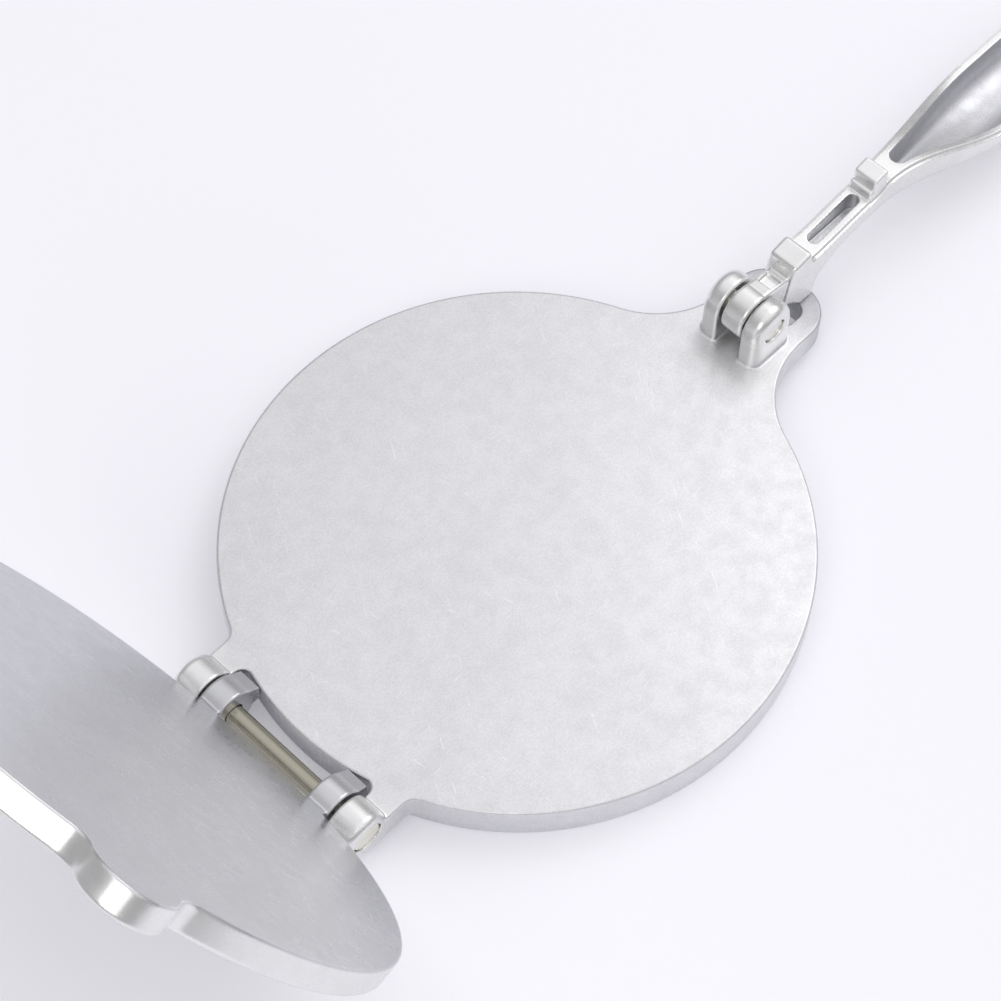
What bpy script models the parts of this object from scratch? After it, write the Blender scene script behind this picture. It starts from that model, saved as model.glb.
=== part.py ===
"""A tortilla press of cast aluminium, open on a table.

A round base plate carries a round top plate on a hinge rod at the back, and a pressing lever on a
pin at the front. Sizes are in metres, +Z is up, +X runs from the hinge to the lever's pin, and the
origin is where the middle of the base plate stands on the table.
"""
import math

import bmesh
import bpy
from mathutils import Matrix

# Fits, and how far one shape reaches into another
FIT_GAP = 0.0003
OVERRUN = 0.0020
WEB_INSET = 0.0002
WELD = 0.0000002

# Base plate: one depth for its disc, tongue and arms, a narrower foot ring down to the table, a
# web under the press face, and a hub and ribs beneath
BASE_RADIUS = 0.1000
BASE_HEIGHT = 0.0160
BASE_DEPTH = 0.0110
BASE_WEB = 0.0060
BASE_WALL = 0.0050
FOOT_INSET = 0.0005
FOOT_CHAMFER = 0.0012
BASE_HUB_RADIUS = 0.0140
BASE_RIB_WIDTH = 0.0040
BASE_RIB_LIFT = 0.0020
BASE_RING_RADIUS = 0.0550
PRESS_EDGE = 0.0008

# Tongue at the front of the base, with the opening behind the ears
PIVOT_SETBACK = 0.0140
TONGUE_BEYOND_PIVOT = 0.0307
TONGUE_HALF_WIDTH = 0.0172
TONGUE_CORNER = 0.0140
TONGUE_FAIRING = 0.0350
OPENING_LENGTH = 0.0120
OPENING_SIDE_BAR = 0.0078
OPENING_END_BAR = 0.0077
OPENING_CORNER = 0.0045

# Ears that hold the lever's pin
PIVOT_RISE = 0.0140
EAR_GAP = 0.0108
EAR_THICKNESS = 0.0076
EAR_RADIUS = 0.0098
EAR_OUTER_EDGE = 0.0034
EAR_INNER_EDGE = 0.0006
PIN_RADIUS = 0.0046
PIN_SINK = 0.0009
PIN_CHAMFER = 0.0005

# Rear arms with the outer knuckles
HINGE_SETBACK = 0.0098
HINGE_DROP = 0.0008
OUTER_KNUCKLE_RADIUS = 0.0087
OUTER_KNUCKLE_WIDTH = 0.0112
OUTER_KNUCKLE_EDGE = 0.0026
KNUCKLE_EDGE = 0.0005
KNUCKLE_CLEARANCE = 0.0009
ARM_FAIRING = 0.0050
ARM_BEYOND_HINGE = 0.0030
ARM_END_CORNER = 0.0028
WINDOW_CORNER = 0.0032

# Hinge rod, with a sunk head at each end
ROD_RADIUS = 0.0035
ROD_HEAD_RADIUS = 0.0055
ROD_HEAD_LENGTH = 0.0026
ROD_SINK = 0.0006
ROD_CHAMFER = 0.0005

# Top plate
TOP_OVERHANG = 0.0010
TOP_RIM = 0.0090
TOP_WEB = 0.0050
TOP_WALL = 0.0038
TOP_BACK_EDGE = 0.0014
TOP_HUB_RADIUS = 0.0120
TOP_RIB_WIDTH = 0.0040
TOP_RING_RADIUS = 0.0380
TOP_OPENING_DEG = 117.4
INNER_KNUCKLE_RADIUS = 0.0092
INNER_KNUCKLE_START = 0.0200
INNER_KNUCKLE_WIDTH = 0.0093
STOP_RISE = 0.0005
STOP_DEPTH = 0.0045

# Lifting tabs on the top plate's rim, one each side of the ears
TAB_RADIUS = 0.0135
TAB_REACH = 0.0160
TAB_FAIRING = 0.0080
TAB_TURN_DEG = 38.5

# Lever: knuckle, neck, heel and two pressing blocks
LEVER_FOLD_DEG = 169.5
LEVER_KNUCKLE_RADIUS = 0.0090
LEVER_SIDE_GAP = 0.0008
LEVER_HALF_WIDTH = 0.0061
NECK_START = 0.0028
NECK_LENGTH = 0.0158
NECK_CLEARANCE = 0.0016
NECK_UNDERSIDE = 0.0065
NECK_UNDERSIDE_LENGTH = 0.0140
NECK_PANEL_START = 0.0078
NECK_PANEL_LENGTH = 0.0056
NECK_PANEL_HALF_WIDTH = 0.0032
NECK_PANEL_DEPTH = 0.0014
BLOCK_CLEARANCE = 0.0022
BLOCK_LENGTH = 0.0086
BLOCK_BACK_SLOPE = 0.0014
BLOCK_EDGE = 0.0012
SECOND_BLOCK_START = 0.0595
SECOND_BLOCK_LENGTH = 0.0068
SECOND_BLOCK_HALF_WIDTH = 0.0050
SECOND_BLOCK_STEP = 0.0018
SECOND_BLOCK_STEP_RISE = 0.0032
HEEL_LENGTH = 0.0075
HEEL_INSET = 0.0007

# Lever: the trough that flares into a dished handle
LEVER_LENGTH = 0.2060
TROUGH_START = 0.0285
RIM_START = 0.0250
TROUGH_TOP = 0.0090
TROUGH_CLIMB = 0.0027
TROUGH_HALF_WIDTH = 0.0048
TROUGH_UNDERSIDE = 0.0017
CREST_START = 0.0600
CREST_END = 0.0700
CREST_TOP = 0.0141
FLARE_START = 0.0660
FLARE_END = 0.1360
HANDLE_FALL_START = 0.0720
HANDLE_FALL_END = 0.1320
HANDLE_TOP = 0.0010
HANDLE_HALF_WIDTH = 0.0154
HANDLE_UNDERSIDE = 0.0130
HANDLE_END_LENGTH = 0.0180
ARCH_END = 0.0560
LEDGE_WIDTH = 0.0012
LEDGE_DROP = 0.0016
TROUGH_SQUARENESS = 7.0
HANDLE_SQUARENESS = 2.8

# Lever: its two pockets
SLOT_START = 0.0315
SLOT_END = 0.0565
SLOT_HALF_WIDTH = 0.0024
SLOT_DEPTH = 0.0055
DISH_START = 0.0755
DISH_NOSE = 0.0030
DISH_STRIP = 0.0024
DISH_FLOOR = 0.0030

# Fineness of the round shapes, in steps
PLATE_STEPS = 96
SMALL_STEPS = 32
ARC_STEPS = 8
EDGE_STEPS = 2
END_STEPS = 7
LEVER_STATIONS = 34
SECTION_STEPS = 12
SHARP_DEG = 40
FLAT_DEG = 0.1
ROUND_SHARE = 0.5

# Finishes: colour, roughness and metallic value
CAST_FACE = ((0.80, 0.80, 0.81, 1.0), 0.42, 1.0)
CAST_TOP = ((0.74, 0.75, 0.77, 1.0), 0.34, 1.0)
CAST_POLISHED = ((0.82, 0.82, 0.83, 1.0), 0.26, 1.0)
PLATED_STEEL = ((0.78, 0.75, 0.66, 1.0), 0.30, 1.0)

# Places that follow from the sizes above
HINGE_X = -(BASE_RADIUS + HINGE_SETBACK)
HINGE_Z = BASE_HEIGHT - HINGE_DROP
PIVOT_X = BASE_RADIUS + PIVOT_SETBACK
PIVOT_Z = BASE_HEIGHT + PIVOT_RISE
TONGUE_END = PIVOT_X + TONGUE_BEYOND_PIVOT
TOP_RADIUS = BASE_RADIUS + TOP_OVERHANG
PRESS_Z = BASE_HEIGHT + FIT_GAP
TOP_OPENING = math.radians(TOP_OPENING_DEG)
LEVER_TILT = math.pi - math.radians(LEVER_FOLD_DEG)
INNER_KNUCKLE_END = INNER_KNUCKLE_START + INNER_KNUCKLE_WIDTH
OUTER_KNUCKLE_START = INNER_KNUCKLE_END + KNUCKLE_CLEARANCE
OUTER_KNUCKLE_END = OUTER_KNUCKLE_START + OUTER_KNUCKLE_WIDTH
EAR_START = EAR_GAP / 2
EAR_END = EAR_START + EAR_THICKNESS
HALF_TURN = math.pi
QUARTER_TURN = math.pi / 2


def clear_scene():
    """Remove what the scene holds, and make the collection of the pieces."""
    for item in list(bpy.data.objects):
        bpy.data.objects.remove(item, do_unlink=True)
    bpy.context.scene.collection.children.link(bpy.data.collections.new("tortilla_press"))


def finish(name, colour, roughness, metallic):
    """A Principled material of one colour."""
    material = bpy.data.materials.new(name)
    material.use_nodes = True
    shader = material.node_tree.nodes["Principled BSDF"]
    shader.inputs["Base Color"].default_value = colour
    shader.inputs["Roughness"].default_value = roughness
    shader.inputs["Metallic"].default_value = metallic
    material.diffuse_color = colour
    return material


def spread(start, end, steps):
    """Evenly spaced values from start to end, with both ends."""
    return [start + (end - start) * step / steps for step in range(steps + 1)]


def arc(centre, radius, start, end, steps=ARC_STEPS):
    """Points on an arc from one angle to the other, with both ends."""
    return [(centre[0] + radius * math.cos(angle), centre[1] + radius * math.sin(angle))
            for angle in spread(start, end, steps)]


def mirrored(half):
    """An outline that goes on from its half, mirrored across the x axis."""
    return half + [(x, -y) for x, y in reversed(half)]


def ease(value, start, end):
    """Zero before start, one after end, and a smooth rise between them."""
    share = min(max((value - start) / (end - start), 0), 1)
    return share * share * (3 - 2 * share)


def blend(first, second, share):
    """The value that lies the given share of the way from the first to the second."""
    return first + (second - first) * share


def placed(name, mesh, place=Matrix.Identity(4)):
    """An object in the scene with a welded mesh, which is moved to its place."""
    work = bmesh.new()
    work.from_mesh(mesh)
    bmesh.ops.remove_doubles(work, verts=work.verts, dist=WELD)
    bmesh.ops.transform(work, matrix=place, verts=work.verts)
    work.to_mesh(mesh)
    work.free()
    item = bpy.data.objects.new(name, mesh)
    bpy.context.scene.collection.objects.link(item)
    return item


def evaluated_mesh(item):
    """The mesh of an object with its modifiers or its bevel, and the object is removed."""
    graph = bpy.context.evaluated_depsgraph_get()
    mesh = bpy.data.meshes.new_from_object(item.evaluated_get(graph))
    bpy.data.objects.remove(item, do_unlink=True)
    return mesh


def flat_outline(name, outline, low, high, place=Matrix.Identity(4)):
    """A flat outline in x and y, as thick as the way from low to high."""
    curve = bpy.data.curves.new(name, "CURVE")
    curve.dimensions = "2D"
    curve.fill_mode = "BOTH"
    curve.extrude = (high - low) / 2
    spline = curve.splines.new("POLY")
    spline.points.add(len(outline) - 1)
    for point, (x, y) in zip(spline.points, outline):
        point.co = (x, y, 0, 1)
    spline.use_cyclic_u = True
    guide = bpy.data.objects.new(name, curve)
    bpy.context.scene.collection.objects.link(guide)
    bpy.context.view_layer.update()
    middle = Matrix.Translation((0, 0, (low + high) / 2))
    return placed(name, evaluated_mesh(guide), place @ middle)


def side_outline(name, outline, left, right):
    """A flat outline in x and z, as thick as the way from left to right along y."""
    upright = Matrix.Rotation(QUARTER_TURN, 4, "X")
    return flat_outline(name, outline, -right, -left, upright)


def turned(name, profile, steps, place=Matrix.Identity(4)):
    """A round solid from a profile of (radius, height) that runs down its outer side."""
    mesh = bpy.data.meshes.new(name)
    edges = [(index, index + 1) for index in range(len(profile) - 1)]
    mesh.from_pydata([(radius, 0, height) for radius, height in profile], edges, [])
    guide = bpy.data.objects.new(name, mesh)
    bpy.context.scene.collection.objects.link(guide)
    screw = guide.modifiers.new("turn", "SCREW")
    screw.steps = steps
    screw.render_steps = steps
    screw.use_merge_vertices = True
    screw.merge_threshold = WELD
    bpy.context.view_layer.update()
    return placed(name, evaluated_mesh(guide), place)


def across(x, z):
    """The place of a turned shape whose axis runs along y at the given x and z."""
    return Matrix.Translation((x, 0, z)) @ Matrix.Rotation(-QUARTER_TURN, 4, "X")


def rounded_end(radius, end, edge):
    """The top of a turned profile, from its axis over a rounded edge."""
    centre = (radius - edge, end - edge)
    return [(0, end)] + arc(centre, edge, QUARTER_TURN, 0, EDGE_STEPS + 1)


def barrel(name, radius, start, end, start_edge, end_edge, x, z):
    """A cylinder along y with rounded edges."""
    top = rounded_end(radius, end, end_edge)
    bottom = [(r, start + end - y) for r, y in rounded_end(radius, end, start_edge)]
    return turned(name, top + bottom[::-1], SMALL_STEPS, across(x, z))


def bore(name, radius, start, end, x, z):
    """A plain cylinder along y, for cutting a hole."""
    profile = [(0, end), (radius, end), (radius, start), (0, start)]
    return turned(name, profile, SMALL_STEPS, across(x, z))


def soften(item, width, wanted, segments=EDGE_STEPS):
    """Round the sharp edges of a mesh that are wanted, judged by both ends of each edge.

    The triangles of its flat faces are merged first, because their edges would hold the rounding
    back.
    """
    work = bmesh.new()
    work.from_mesh(item.data)
    bmesh.ops.dissolve_limit(work, angle_limit=math.radians(FLAT_DEG), verts=work.verts,
                             edges=work.edges)
    sharp = math.radians(SHARP_DEG)
    edges = [edge for edge in work.edges
             if edge.calc_face_angle(0) > sharp and all(wanted(end.co) for end in edge.verts)]
    bmesh.ops.bevel(work, geom=edges, offset=width, offset_type="OFFSET", segments=segments,
                    profile=ROUND_SHARE, affect="EDGES", clamp_overlap=True)
    work.to_mesh(item.data)
    work.free()
    return item


def combine(item, others, operation):
    """The item with other shapes joined to it or cut out of it, welded after each of them."""
    name = item.name
    for other in others:
        modifier = item.modifiers.new(other.name, "BOOLEAN")
        modifier.operation = operation
        modifier.object = other
        modifier.solver = "EXACT"
        bpy.context.view_layer.update()
        item = placed(name, evaluated_mesh(item))
        bpy.data.objects.remove(other, do_unlink=True)
    return item


def publish(item, material, pivot, turn=0):
    """Give a piece its material and its shading, and hang it on an empty at its axis."""
    bpy.context.scene.collection.objects.unlink(item)
    bpy.data.collections["tortilla_press"].objects.link(item)
    item.data.materials.clear()
    item.data.materials.append(material)
    item.data.shade_smooth()
    item.data.set_sharp_from_angle(angle=math.radians(SHARP_DEG))
    axis = bpy.data.objects.new(item.name + "_axis", None)
    bpy.data.collections["tortilla_press"].objects.link(axis)
    axis.location = pivot
    axis.rotation_euler = (0, turn, 0)
    item.parent = axis
    item.matrix_parent_inverse = Matrix.Translation(pivot).inverted()


def rim_arc(radius, start, end):
    """Points on a plate's rim from one angle to the other, as close as all round it."""
    steps = math.ceil(PLATE_STEPS * (end - start) / (HALF_TURN + HALF_TURN))
    return arc((0, 0), radius, start, end, steps)


def fairing_centre(radius, fairing, side):
    """The centre of a fairing that touches a plate's rim, at a distance from the x axis."""
    reach = radius + fairing
    return (math.sqrt(reach * reach - side * side), side)


def tongue_side():
    """One side of the tongue, from its end round a corner and along the fairing to the rim."""
    centre = fairing_centre(BASE_RADIUS, TONGUE_FAIRING, TONGUE_HALF_WIDTH + TONGUE_FAIRING)
    turn = math.atan2(centre[1], centre[0])
    corner_centre = (TONGUE_END - TONGUE_CORNER, TONGUE_HALF_WIDTH - TONGUE_CORNER)
    corner = arc(corner_centre, TONGUE_CORNER, 0, QUARTER_TURN)
    return corner + arc(centre, TONGUE_FAIRING, -QUARTER_TURN, turn - HALF_TURN)[:-1], turn


def arm_side():
    """A rear arm from the rim along its fairing, round its end and back to the window's rim."""
    outer = OUTER_KNUCKLE_END - WEB_INSET
    inner = OUTER_KNUCKLE_START + WEB_INSET
    distance, side = fairing_centre(BASE_RADIUS, ARM_FAIRING, outer + ARM_FAIRING)
    start = math.atan2(side, -distance)
    outside = arc((-distance, side), ARM_FAIRING, start - HALF_TURN, -QUARTER_TURN)[1:]
    distance, side = fairing_centre(BASE_RADIUS, WINDOW_CORNER, inner - WINDOW_CORNER)
    end = math.atan2(side, -distance)
    inside = arc((-distance, side), WINDOW_CORNER, QUARTER_TURN, end - HALF_TURN)[:-1]
    tip_x = HINGE_X - ARM_BEYOND_HINGE
    corner_centre = (tip_x + ARM_END_CORNER, outer - ARM_END_CORNER)
    tip = arc(corner_centre, ARM_END_CORNER, QUARTER_TURN, HALF_TURN, ARC_STEPS // 2)
    return outside + tip + [(tip_x, inner)] + inside, start, end


def base_outline():
    """The base plate's plan: the disc with its tongue and its two rear arms."""
    tongue, tongue_turn = tongue_side()
    arm, arm_start, arm_end = arm_side()
    side = rim_arc(BASE_RADIUS, tongue_turn, arm_start)
    window = rim_arc(BASE_RADIUS, arm_end, HALF_TURN)[:-1]
    return mirrored(tongue + side + arm + window)


def opening_outline():
    """The rounded opening in the tongue, between its side bars and its end bar."""
    far = TONGUE_END - OPENING_END_BAR
    near = far - OPENING_LENGTH
    half = TONGUE_HALF_WIDTH - OPENING_SIDE_BAR
    inset = half - OPENING_CORNER
    near_corner = arc((near + OPENING_CORNER, inset), OPENING_CORNER, HALF_TURN, QUARTER_TURN)
    far_corner = arc((far - OPENING_CORNER, inset), OPENING_CORNER, QUARTER_TURN, 0)
    return mirrored(near_corner + far_corner)


def ear_outline():
    """The side of an ear: two flanks and a round crown, from well inside the tongue."""
    foot = BASE_HEIGHT - OVERRUN - EAR_OUTER_EDGE
    crown = arc((PIVOT_X, PIVOT_Z), EAR_RADIUS, HALF_TURN, 0, SMALL_STEPS // 2)
    return [(PIVOT_X - EAR_RADIUS, foot)] + crown + [(PIVOT_X + EAR_RADIUS, foot)]


def tab_side():
    """A lifting tab's half along +X: from its tip round the lobe and along the fairing."""
    lobe_x = TOP_RADIUS + TAB_REACH - TAB_RADIUS
    reach = TOP_RADIUS + TAB_FAIRING
    spread_out = TAB_RADIUS + TAB_FAIRING
    share = (reach * reach + lobe_x * lobe_x - spread_out * spread_out) / (2 * reach * lobe_x)
    turn = math.acos(share)
    centre = (reach * math.cos(turn), reach * math.sin(turn))
    towards_lobe = math.atan2(-centre[1], lobe_x - centre[0])
    lobe = arc((lobe_x, 0), TAB_RADIUS, 0, towards_lobe + HALF_TURN)
    return lobe[1:] + arc(centre, TAB_FAIRING, towards_lobe, turn - HALF_TURN)[1:-1], turn


def turned_points(points, turn):
    """Points that are turned about the origin."""
    cosine = math.cos(turn)
    sine = math.sin(turn)
    return [(x * cosine - y * sine, x * sine + y * cosine) for x, y in points]


def top_outline():
    """The top plate's plan: the disc with a lifting tab on each side of the ears."""
    side, turn = tab_side()
    tip = [(TOP_RADIUS + TAB_REACH, 0)]
    tab = [(x, -y) for x, y in reversed(side)] + tip + side
    place = math.radians(TAB_TURN_DEG)
    front = rim_arc(TOP_RADIUS, 0, place - turn)[1:]
    back = rim_arc(TOP_RADIUS, place + turn, HALF_TURN)[:-1]
    return mirrored(front + turned_points(tab, place) + back)


def ring_rib(name, radius, width, low, high):
    """A ring round the middle of a plate, which ties its ribs together."""
    inner = radius - width / 2
    outer = radius + width / 2
    profile = [(inner, high), (outer, high), (outer, low), (inner, low), (inner, high)]
    return turned(name, profile, PLATE_STEPS // 2)


def rib_bar(name, length, width, low, high, turn):
    """A bar right across a plate, which makes two of its ribs."""
    outline = [(-length, -width / 2), (length, -width / 2), (length, width / 2), (-length, width / 2)]
    return flat_outline(name, outline, low, high, Matrix.Rotation(turn, 4, "Z"))


def rib_turns():
    """The directions of the bars, which leave the way of the lever free."""
    step = QUARTER_TURN / 2
    return [step / 2 + step * index for index in range(4)]


def build_base(material):
    """The base plate with its rim, ribs, tongue, ears, arms and outer knuckles."""
    under_web = BASE_HEIGHT - BASE_WEB
    inside = BASE_RADIUS - BASE_WALL
    underneath = BASE_HEIGHT - BASE_DEPTH
    foot_radius = BASE_RADIUS - FOOT_INSET
    base = flat_outline("base_plate", base_outline(), underneath, BASE_HEIGHT)
    soften(base, PRESS_EDGE, lambda point: point.z > BASE_HEIGHT - FIT_GAP)
    foot = [(0, underneath + OVERRUN), (foot_radius, underneath + OVERRUN),
            (foot_radius, FOOT_CHAMFER), (foot_radius - FOOT_CHAMFER, 0), (0, 0)]
    base = combine(base, [turned("foot", foot, PLATE_STEPS)], "UNION")

    pocket = [(0, under_web), (inside, under_web), (inside, -OVERRUN), (0, -OVERRUN)]
    cuts = [turned("pocket", pocket, PLATE_STEPS),
            flat_outline("tongue_opening", opening_outline(), 0, BASE_HEIGHT + OVERRUN)]
    base = combine(base, cuts, "DIFFERENCE")

    hub = [(0, under_web + OVERRUN), (BASE_HUB_RADIUS, under_web + OVERRUN),
           (BASE_HUB_RADIUS, 0), (0, 0)]
    parts = [turned("base_hub", hub, PLATE_STEPS // 2),
             ring_rib("base_ring", BASE_RING_RADIUS, BASE_RIB_WIDTH, BASE_RIB_LIFT + FIT_GAP,
                      under_web + OVERRUN)]
    for index, turn in enumerate(rib_turns()):
        parts.append(rib_bar("base_rib_" + str(index), inside + OVERRUN, BASE_RIB_WIDTH,
                             BASE_RIB_LIFT, under_web + OVERRUN, turn))
    for side, word in ((1, "left"), (-1, "right")):
        near, far = sorted((side * OUTER_KNUCKLE_START, side * OUTER_KNUCKLE_END))
        near_edge, far_edge = (KNUCKLE_EDGE, OUTER_KNUCKLE_EDGE)[::side]
        parts.append(barrel("outer_knuckle_" + word, OUTER_KNUCKLE_RADIUS, near, far,
                            near_edge, far_edge, HINGE_X, HINGE_Z))
        near, far = sorted((side * EAR_START, side * EAR_END))
        ear = side_outline("ear_" + word, ear_outline(), near, far)
        soften(ear, EAR_OUTER_EDGE, lambda point: abs(point.y) > EAR_END - FIT_GAP, EDGE_STEPS + 1)
        soften(ear, EAR_INNER_EDGE, lambda point: abs(point.y) < EAR_START + FIT_GAP)
        parts.append(ear)
    base = combine(base, parts, "UNION")

    sink = ROD_SINK + ROD_HEAD_LENGTH + FIT_GAP
    overall = OUTER_KNUCKLE_END + OVERRUN
    bores = [bore("rod_hole", ROD_RADIUS + FIT_GAP, -overall, overall, HINGE_X, HINGE_Z)]
    for side, word in ((1, "left"), (-1, "right")):
        near, far = sorted((side * (OUTER_KNUCKLE_END - sink), side * overall))
        bores.append(bore("rod_sink_" + word, ROD_HEAD_RADIUS + FIT_GAP, near, far, HINGE_X,
                          HINGE_Z))
    overall = EAR_END + OVERRUN
    bores.append(bore("pin_hole", PIN_RADIUS + FIT_GAP, -overall, overall, PIVOT_X, PIVOT_Z))
    base = combine(base, bores, "DIFFERENCE")
    publish(base, material, (0, 0, 0))


def build_hinge_rod(material):
    """The rod through the four knuckles, with a sunk head at each end."""
    end = OUTER_KNUCKLE_END - ROD_SINK
    shoulder = end - ROD_HEAD_LENGTH
    head = [(0, end), (ROD_HEAD_RADIUS - ROD_CHAMFER, end), (ROD_HEAD_RADIUS, end - ROD_CHAMFER),
            (ROD_HEAD_RADIUS, shoulder), (ROD_RADIUS, shoulder)]
    profile = head + [(radius, -y) for radius, y in reversed(head)]
    rod = turned("hinge_rod", profile, SMALL_STEPS, across(HINGE_X, HINGE_Z))
    publish(rod, material, (HINGE_X, 0, HINGE_Z))


def build_lever_pin(material):
    """The pin through the ears and the lever, sunk a little at each end."""
    end = EAR_END - PIN_SINK
    half = [(0, end), (PIN_RADIUS - PIN_CHAMFER, end), (PIN_RADIUS, end - PIN_CHAMFER)]
    profile = half + [(radius, -y) for radius, y in reversed(half)]
    pin = turned("lever_pin", profile, SMALL_STEPS, across(PIVOT_X, PIVOT_Z))
    publish(pin, material, (PIVOT_X, 0, PIVOT_Z))


def stop_outline():
    """The heel of an inner knuckle, which meets the base's rim when the press is fully open."""
    near = INNER_KNUCKLE_START + WEB_INSET
    rim_x = -math.sqrt(BASE_RADIUS * BASE_RADIUS - near * near)
    reach = rim_x - HINGE_X - FIT_GAP
    corners = [(0, STOP_RISE), (reach, STOP_RISE), (reach, -STOP_DEPTH), (0, -STOP_DEPTH)]
    cosine = math.cos(TOP_OPENING)
    sine = math.sin(TOP_OPENING)
    return [(HINGE_X + x * cosine + z * sine, HINGE_Z - x * sine + z * cosine) for x, z in corners]


def build_top(material):
    """The top plate, modelled closed on the base and then swung open about the hinge."""
    back = PRESS_Z + TOP_RIM
    web = PRESS_Z + TOP_WEB
    inside = TOP_RADIUS - TOP_WALL
    top = flat_outline("top_plate", top_outline(), PRESS_Z, back)
    soften(top, PRESS_EDGE, lambda point: point.z < PRESS_Z + FIT_GAP)
    soften(top, TOP_BACK_EDGE, lambda point: point.z > back - FIT_GAP)
    pocket = [(0, back + OVERRUN), (inside, back + OVERRUN), (inside, web), (0, web)]
    top = combine(top, [turned("pocket", pocket, PLATE_STEPS)], "DIFFERENCE")

    hub = [(0, back), (TOP_HUB_RADIUS, back), (TOP_HUB_RADIUS, web - OVERRUN), (0, web - OVERRUN)]
    parts = [turned("top_hub", hub, PLATE_STEPS // 2),
             ring_rib("top_ring", TOP_RING_RADIUS, TOP_RIB_WIDTH, web - OVERRUN,
                      back - FIT_GAP - FIT_GAP)]
    for index, turn in enumerate(rib_turns()):
        parts.append(rib_bar("top_rib_" + str(index), inside + OVERRUN, TOP_RIB_WIDTH,
                             web - OVERRUN, back - FIT_GAP, turn))
    for side, word in ((1, "left"), (-1, "right")):
        near, far = sorted((side * INNER_KNUCKLE_START, side * INNER_KNUCKLE_END))
        parts.append(barrel("inner_knuckle_" + word, INNER_KNUCKLE_RADIUS, near, far,
                            KNUCKLE_EDGE, KNUCKLE_EDGE, HINGE_X, HINGE_Z))
        crest = HINGE_Z + INNER_KNUCKLE_RADIUS - WEB_INSET
        middle = TOP_RADIUS - TOP_WALL / 2
        root_x = -math.sqrt(middle * middle - INNER_KNUCKLE_END * INNER_KNUCKLE_END)
        lug = [(HINGE_X, PRESS_Z), (root_x, PRESS_Z), (root_x, crest), (HINGE_X, crest)]
        parts.append(side_outline("lug_" + word, lug, near + WEB_INSET, far - WEB_INSET))
        stop_inset = WEB_INSET + WEB_INSET
        parts.append(side_outline("stop_" + word, stop_outline(), near + stop_inset,
                                  far - stop_inset))
    top = combine(top, parts, "UNION")
    overall = INNER_KNUCKLE_END + OVERRUN
    hole = bore("top_rod_hole", ROD_RADIUS + FIT_GAP, -overall, overall, HINGE_X, HINGE_Z)
    top = combine(top, [hole], "DIFFERENCE")
    publish(top, material, (HINGE_X, 0, HINGE_Z), -TOP_OPENING)


def press_line(x):
    """How high above the pin a block's top lies, so that it meets the top plate when folded."""
    drop = PIVOT_Z - (PRESS_Z + TOP_WEB) - FIT_GAP
    return (drop + x * math.sin(LEVER_TILT)) / math.cos(LEVER_TILT)


def block_start():
    """How far from the pin the first block's top begins, so that it folds down inside the rim."""
    drop = PIVOT_Z - (PRESS_Z + TOP_WEB) - FIT_GAP
    setback = PIVOT_SETBACK - TOP_OVERHANG + TOP_WALL + BLOCK_CLEARANCE
    return setback * math.cos(LEVER_TILT) - drop * math.sin(LEVER_TILT)


def neck_top():
    """How high above the pin the neck's top lies, so that it clears the top plate's rim."""
    drop = PIVOT_Z - (PRESS_Z + TOP_RIM) - NECK_CLEARANCE
    return (drop + NECK_LENGTH * math.sin(LEVER_TILT)) / math.cos(LEVER_TILT)


def rim_top(x):
    """The height of the trough's and the handle's rim above the pin, at a distance from it."""
    climb = TROUGH_TOP + TROUGH_CLIMB * ease(x, TROUGH_START, CREST_START)
    crest = blend(climb, CREST_TOP, ease(x, CREST_START, CREST_END))
    return blend(crest, HANDLE_TOP, ease(x, HANDLE_FALL_START, HANDLE_FALL_END))


def underside(x):
    """The height of the lever's underside above the pin: an arch, then the handle's belly."""
    heel = FIT_GAP - PIVOT_RISE
    heel_back = TONGUE_BEYOND_PIVOT - HEEL_INSET
    share = min(max((ARCH_END - x) / (ARCH_END - heel_back), 0), 1)
    arch = blend(heel, TROUGH_UNDERSIDE, math.sqrt(1 - share * share))
    low = blend(arch, -HANDLE_UNDERSIDE, ease(x, CREST_START, FLARE_END))
    return blend(low, rim_top(x) - LEDGE_DROP, 1 - end_share(x, LEVER_LENGTH) ** 2)


def end_share(x, end):
    """The share of its full width that the handle has near its rounded end."""
    share = min(max((x - (end - HANDLE_END_LENGTH)) / HANDLE_END_LENGTH, 0), 1)
    return math.sqrt(1 - share * share)


def half_width(x, end):
    """Half the width of the lever's rim at a distance from the pin."""
    full = blend(TROUGH_HALF_WIDTH, HANDLE_HALF_WIDTH, ease(x, FLARE_START, FLARE_END))
    return full * end_share(x, end)


def stations(start, end):
    """Distances from the pin: even ones, and closer ones round the handle's end."""
    bend = end - HANDLE_END_LENGTH
    turns = spread(0, QUARTER_TURN, END_STEPS)[1:-1]
    last = end - HANDLE_END_LENGTH / SMALL_STEPS / SMALL_STEPS
    return (spread(start, bend, LEVER_STATIONS)
            + [bend + HANDLE_END_LENGTH * math.sin(turn) for turn in turns] + [last])


def bowl(x, half, top, depth):
    """A section from one side, under the middle and up to the other, rounder along the handle."""
    power = 2 / blend(TROUGH_SQUARENESS, HANDLE_SQUARENESS, ease(x, ARCH_END, FLARE_END))
    points = []
    for turn in spread(0, HALF_TURN, SECTION_STEPS):
        cosine = math.cos(turn)
        y = -half * math.copysign(abs(cosine) ** power, cosine)
        points.append((y, top - depth * abs(math.sin(turn)) ** power))
    return points


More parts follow.
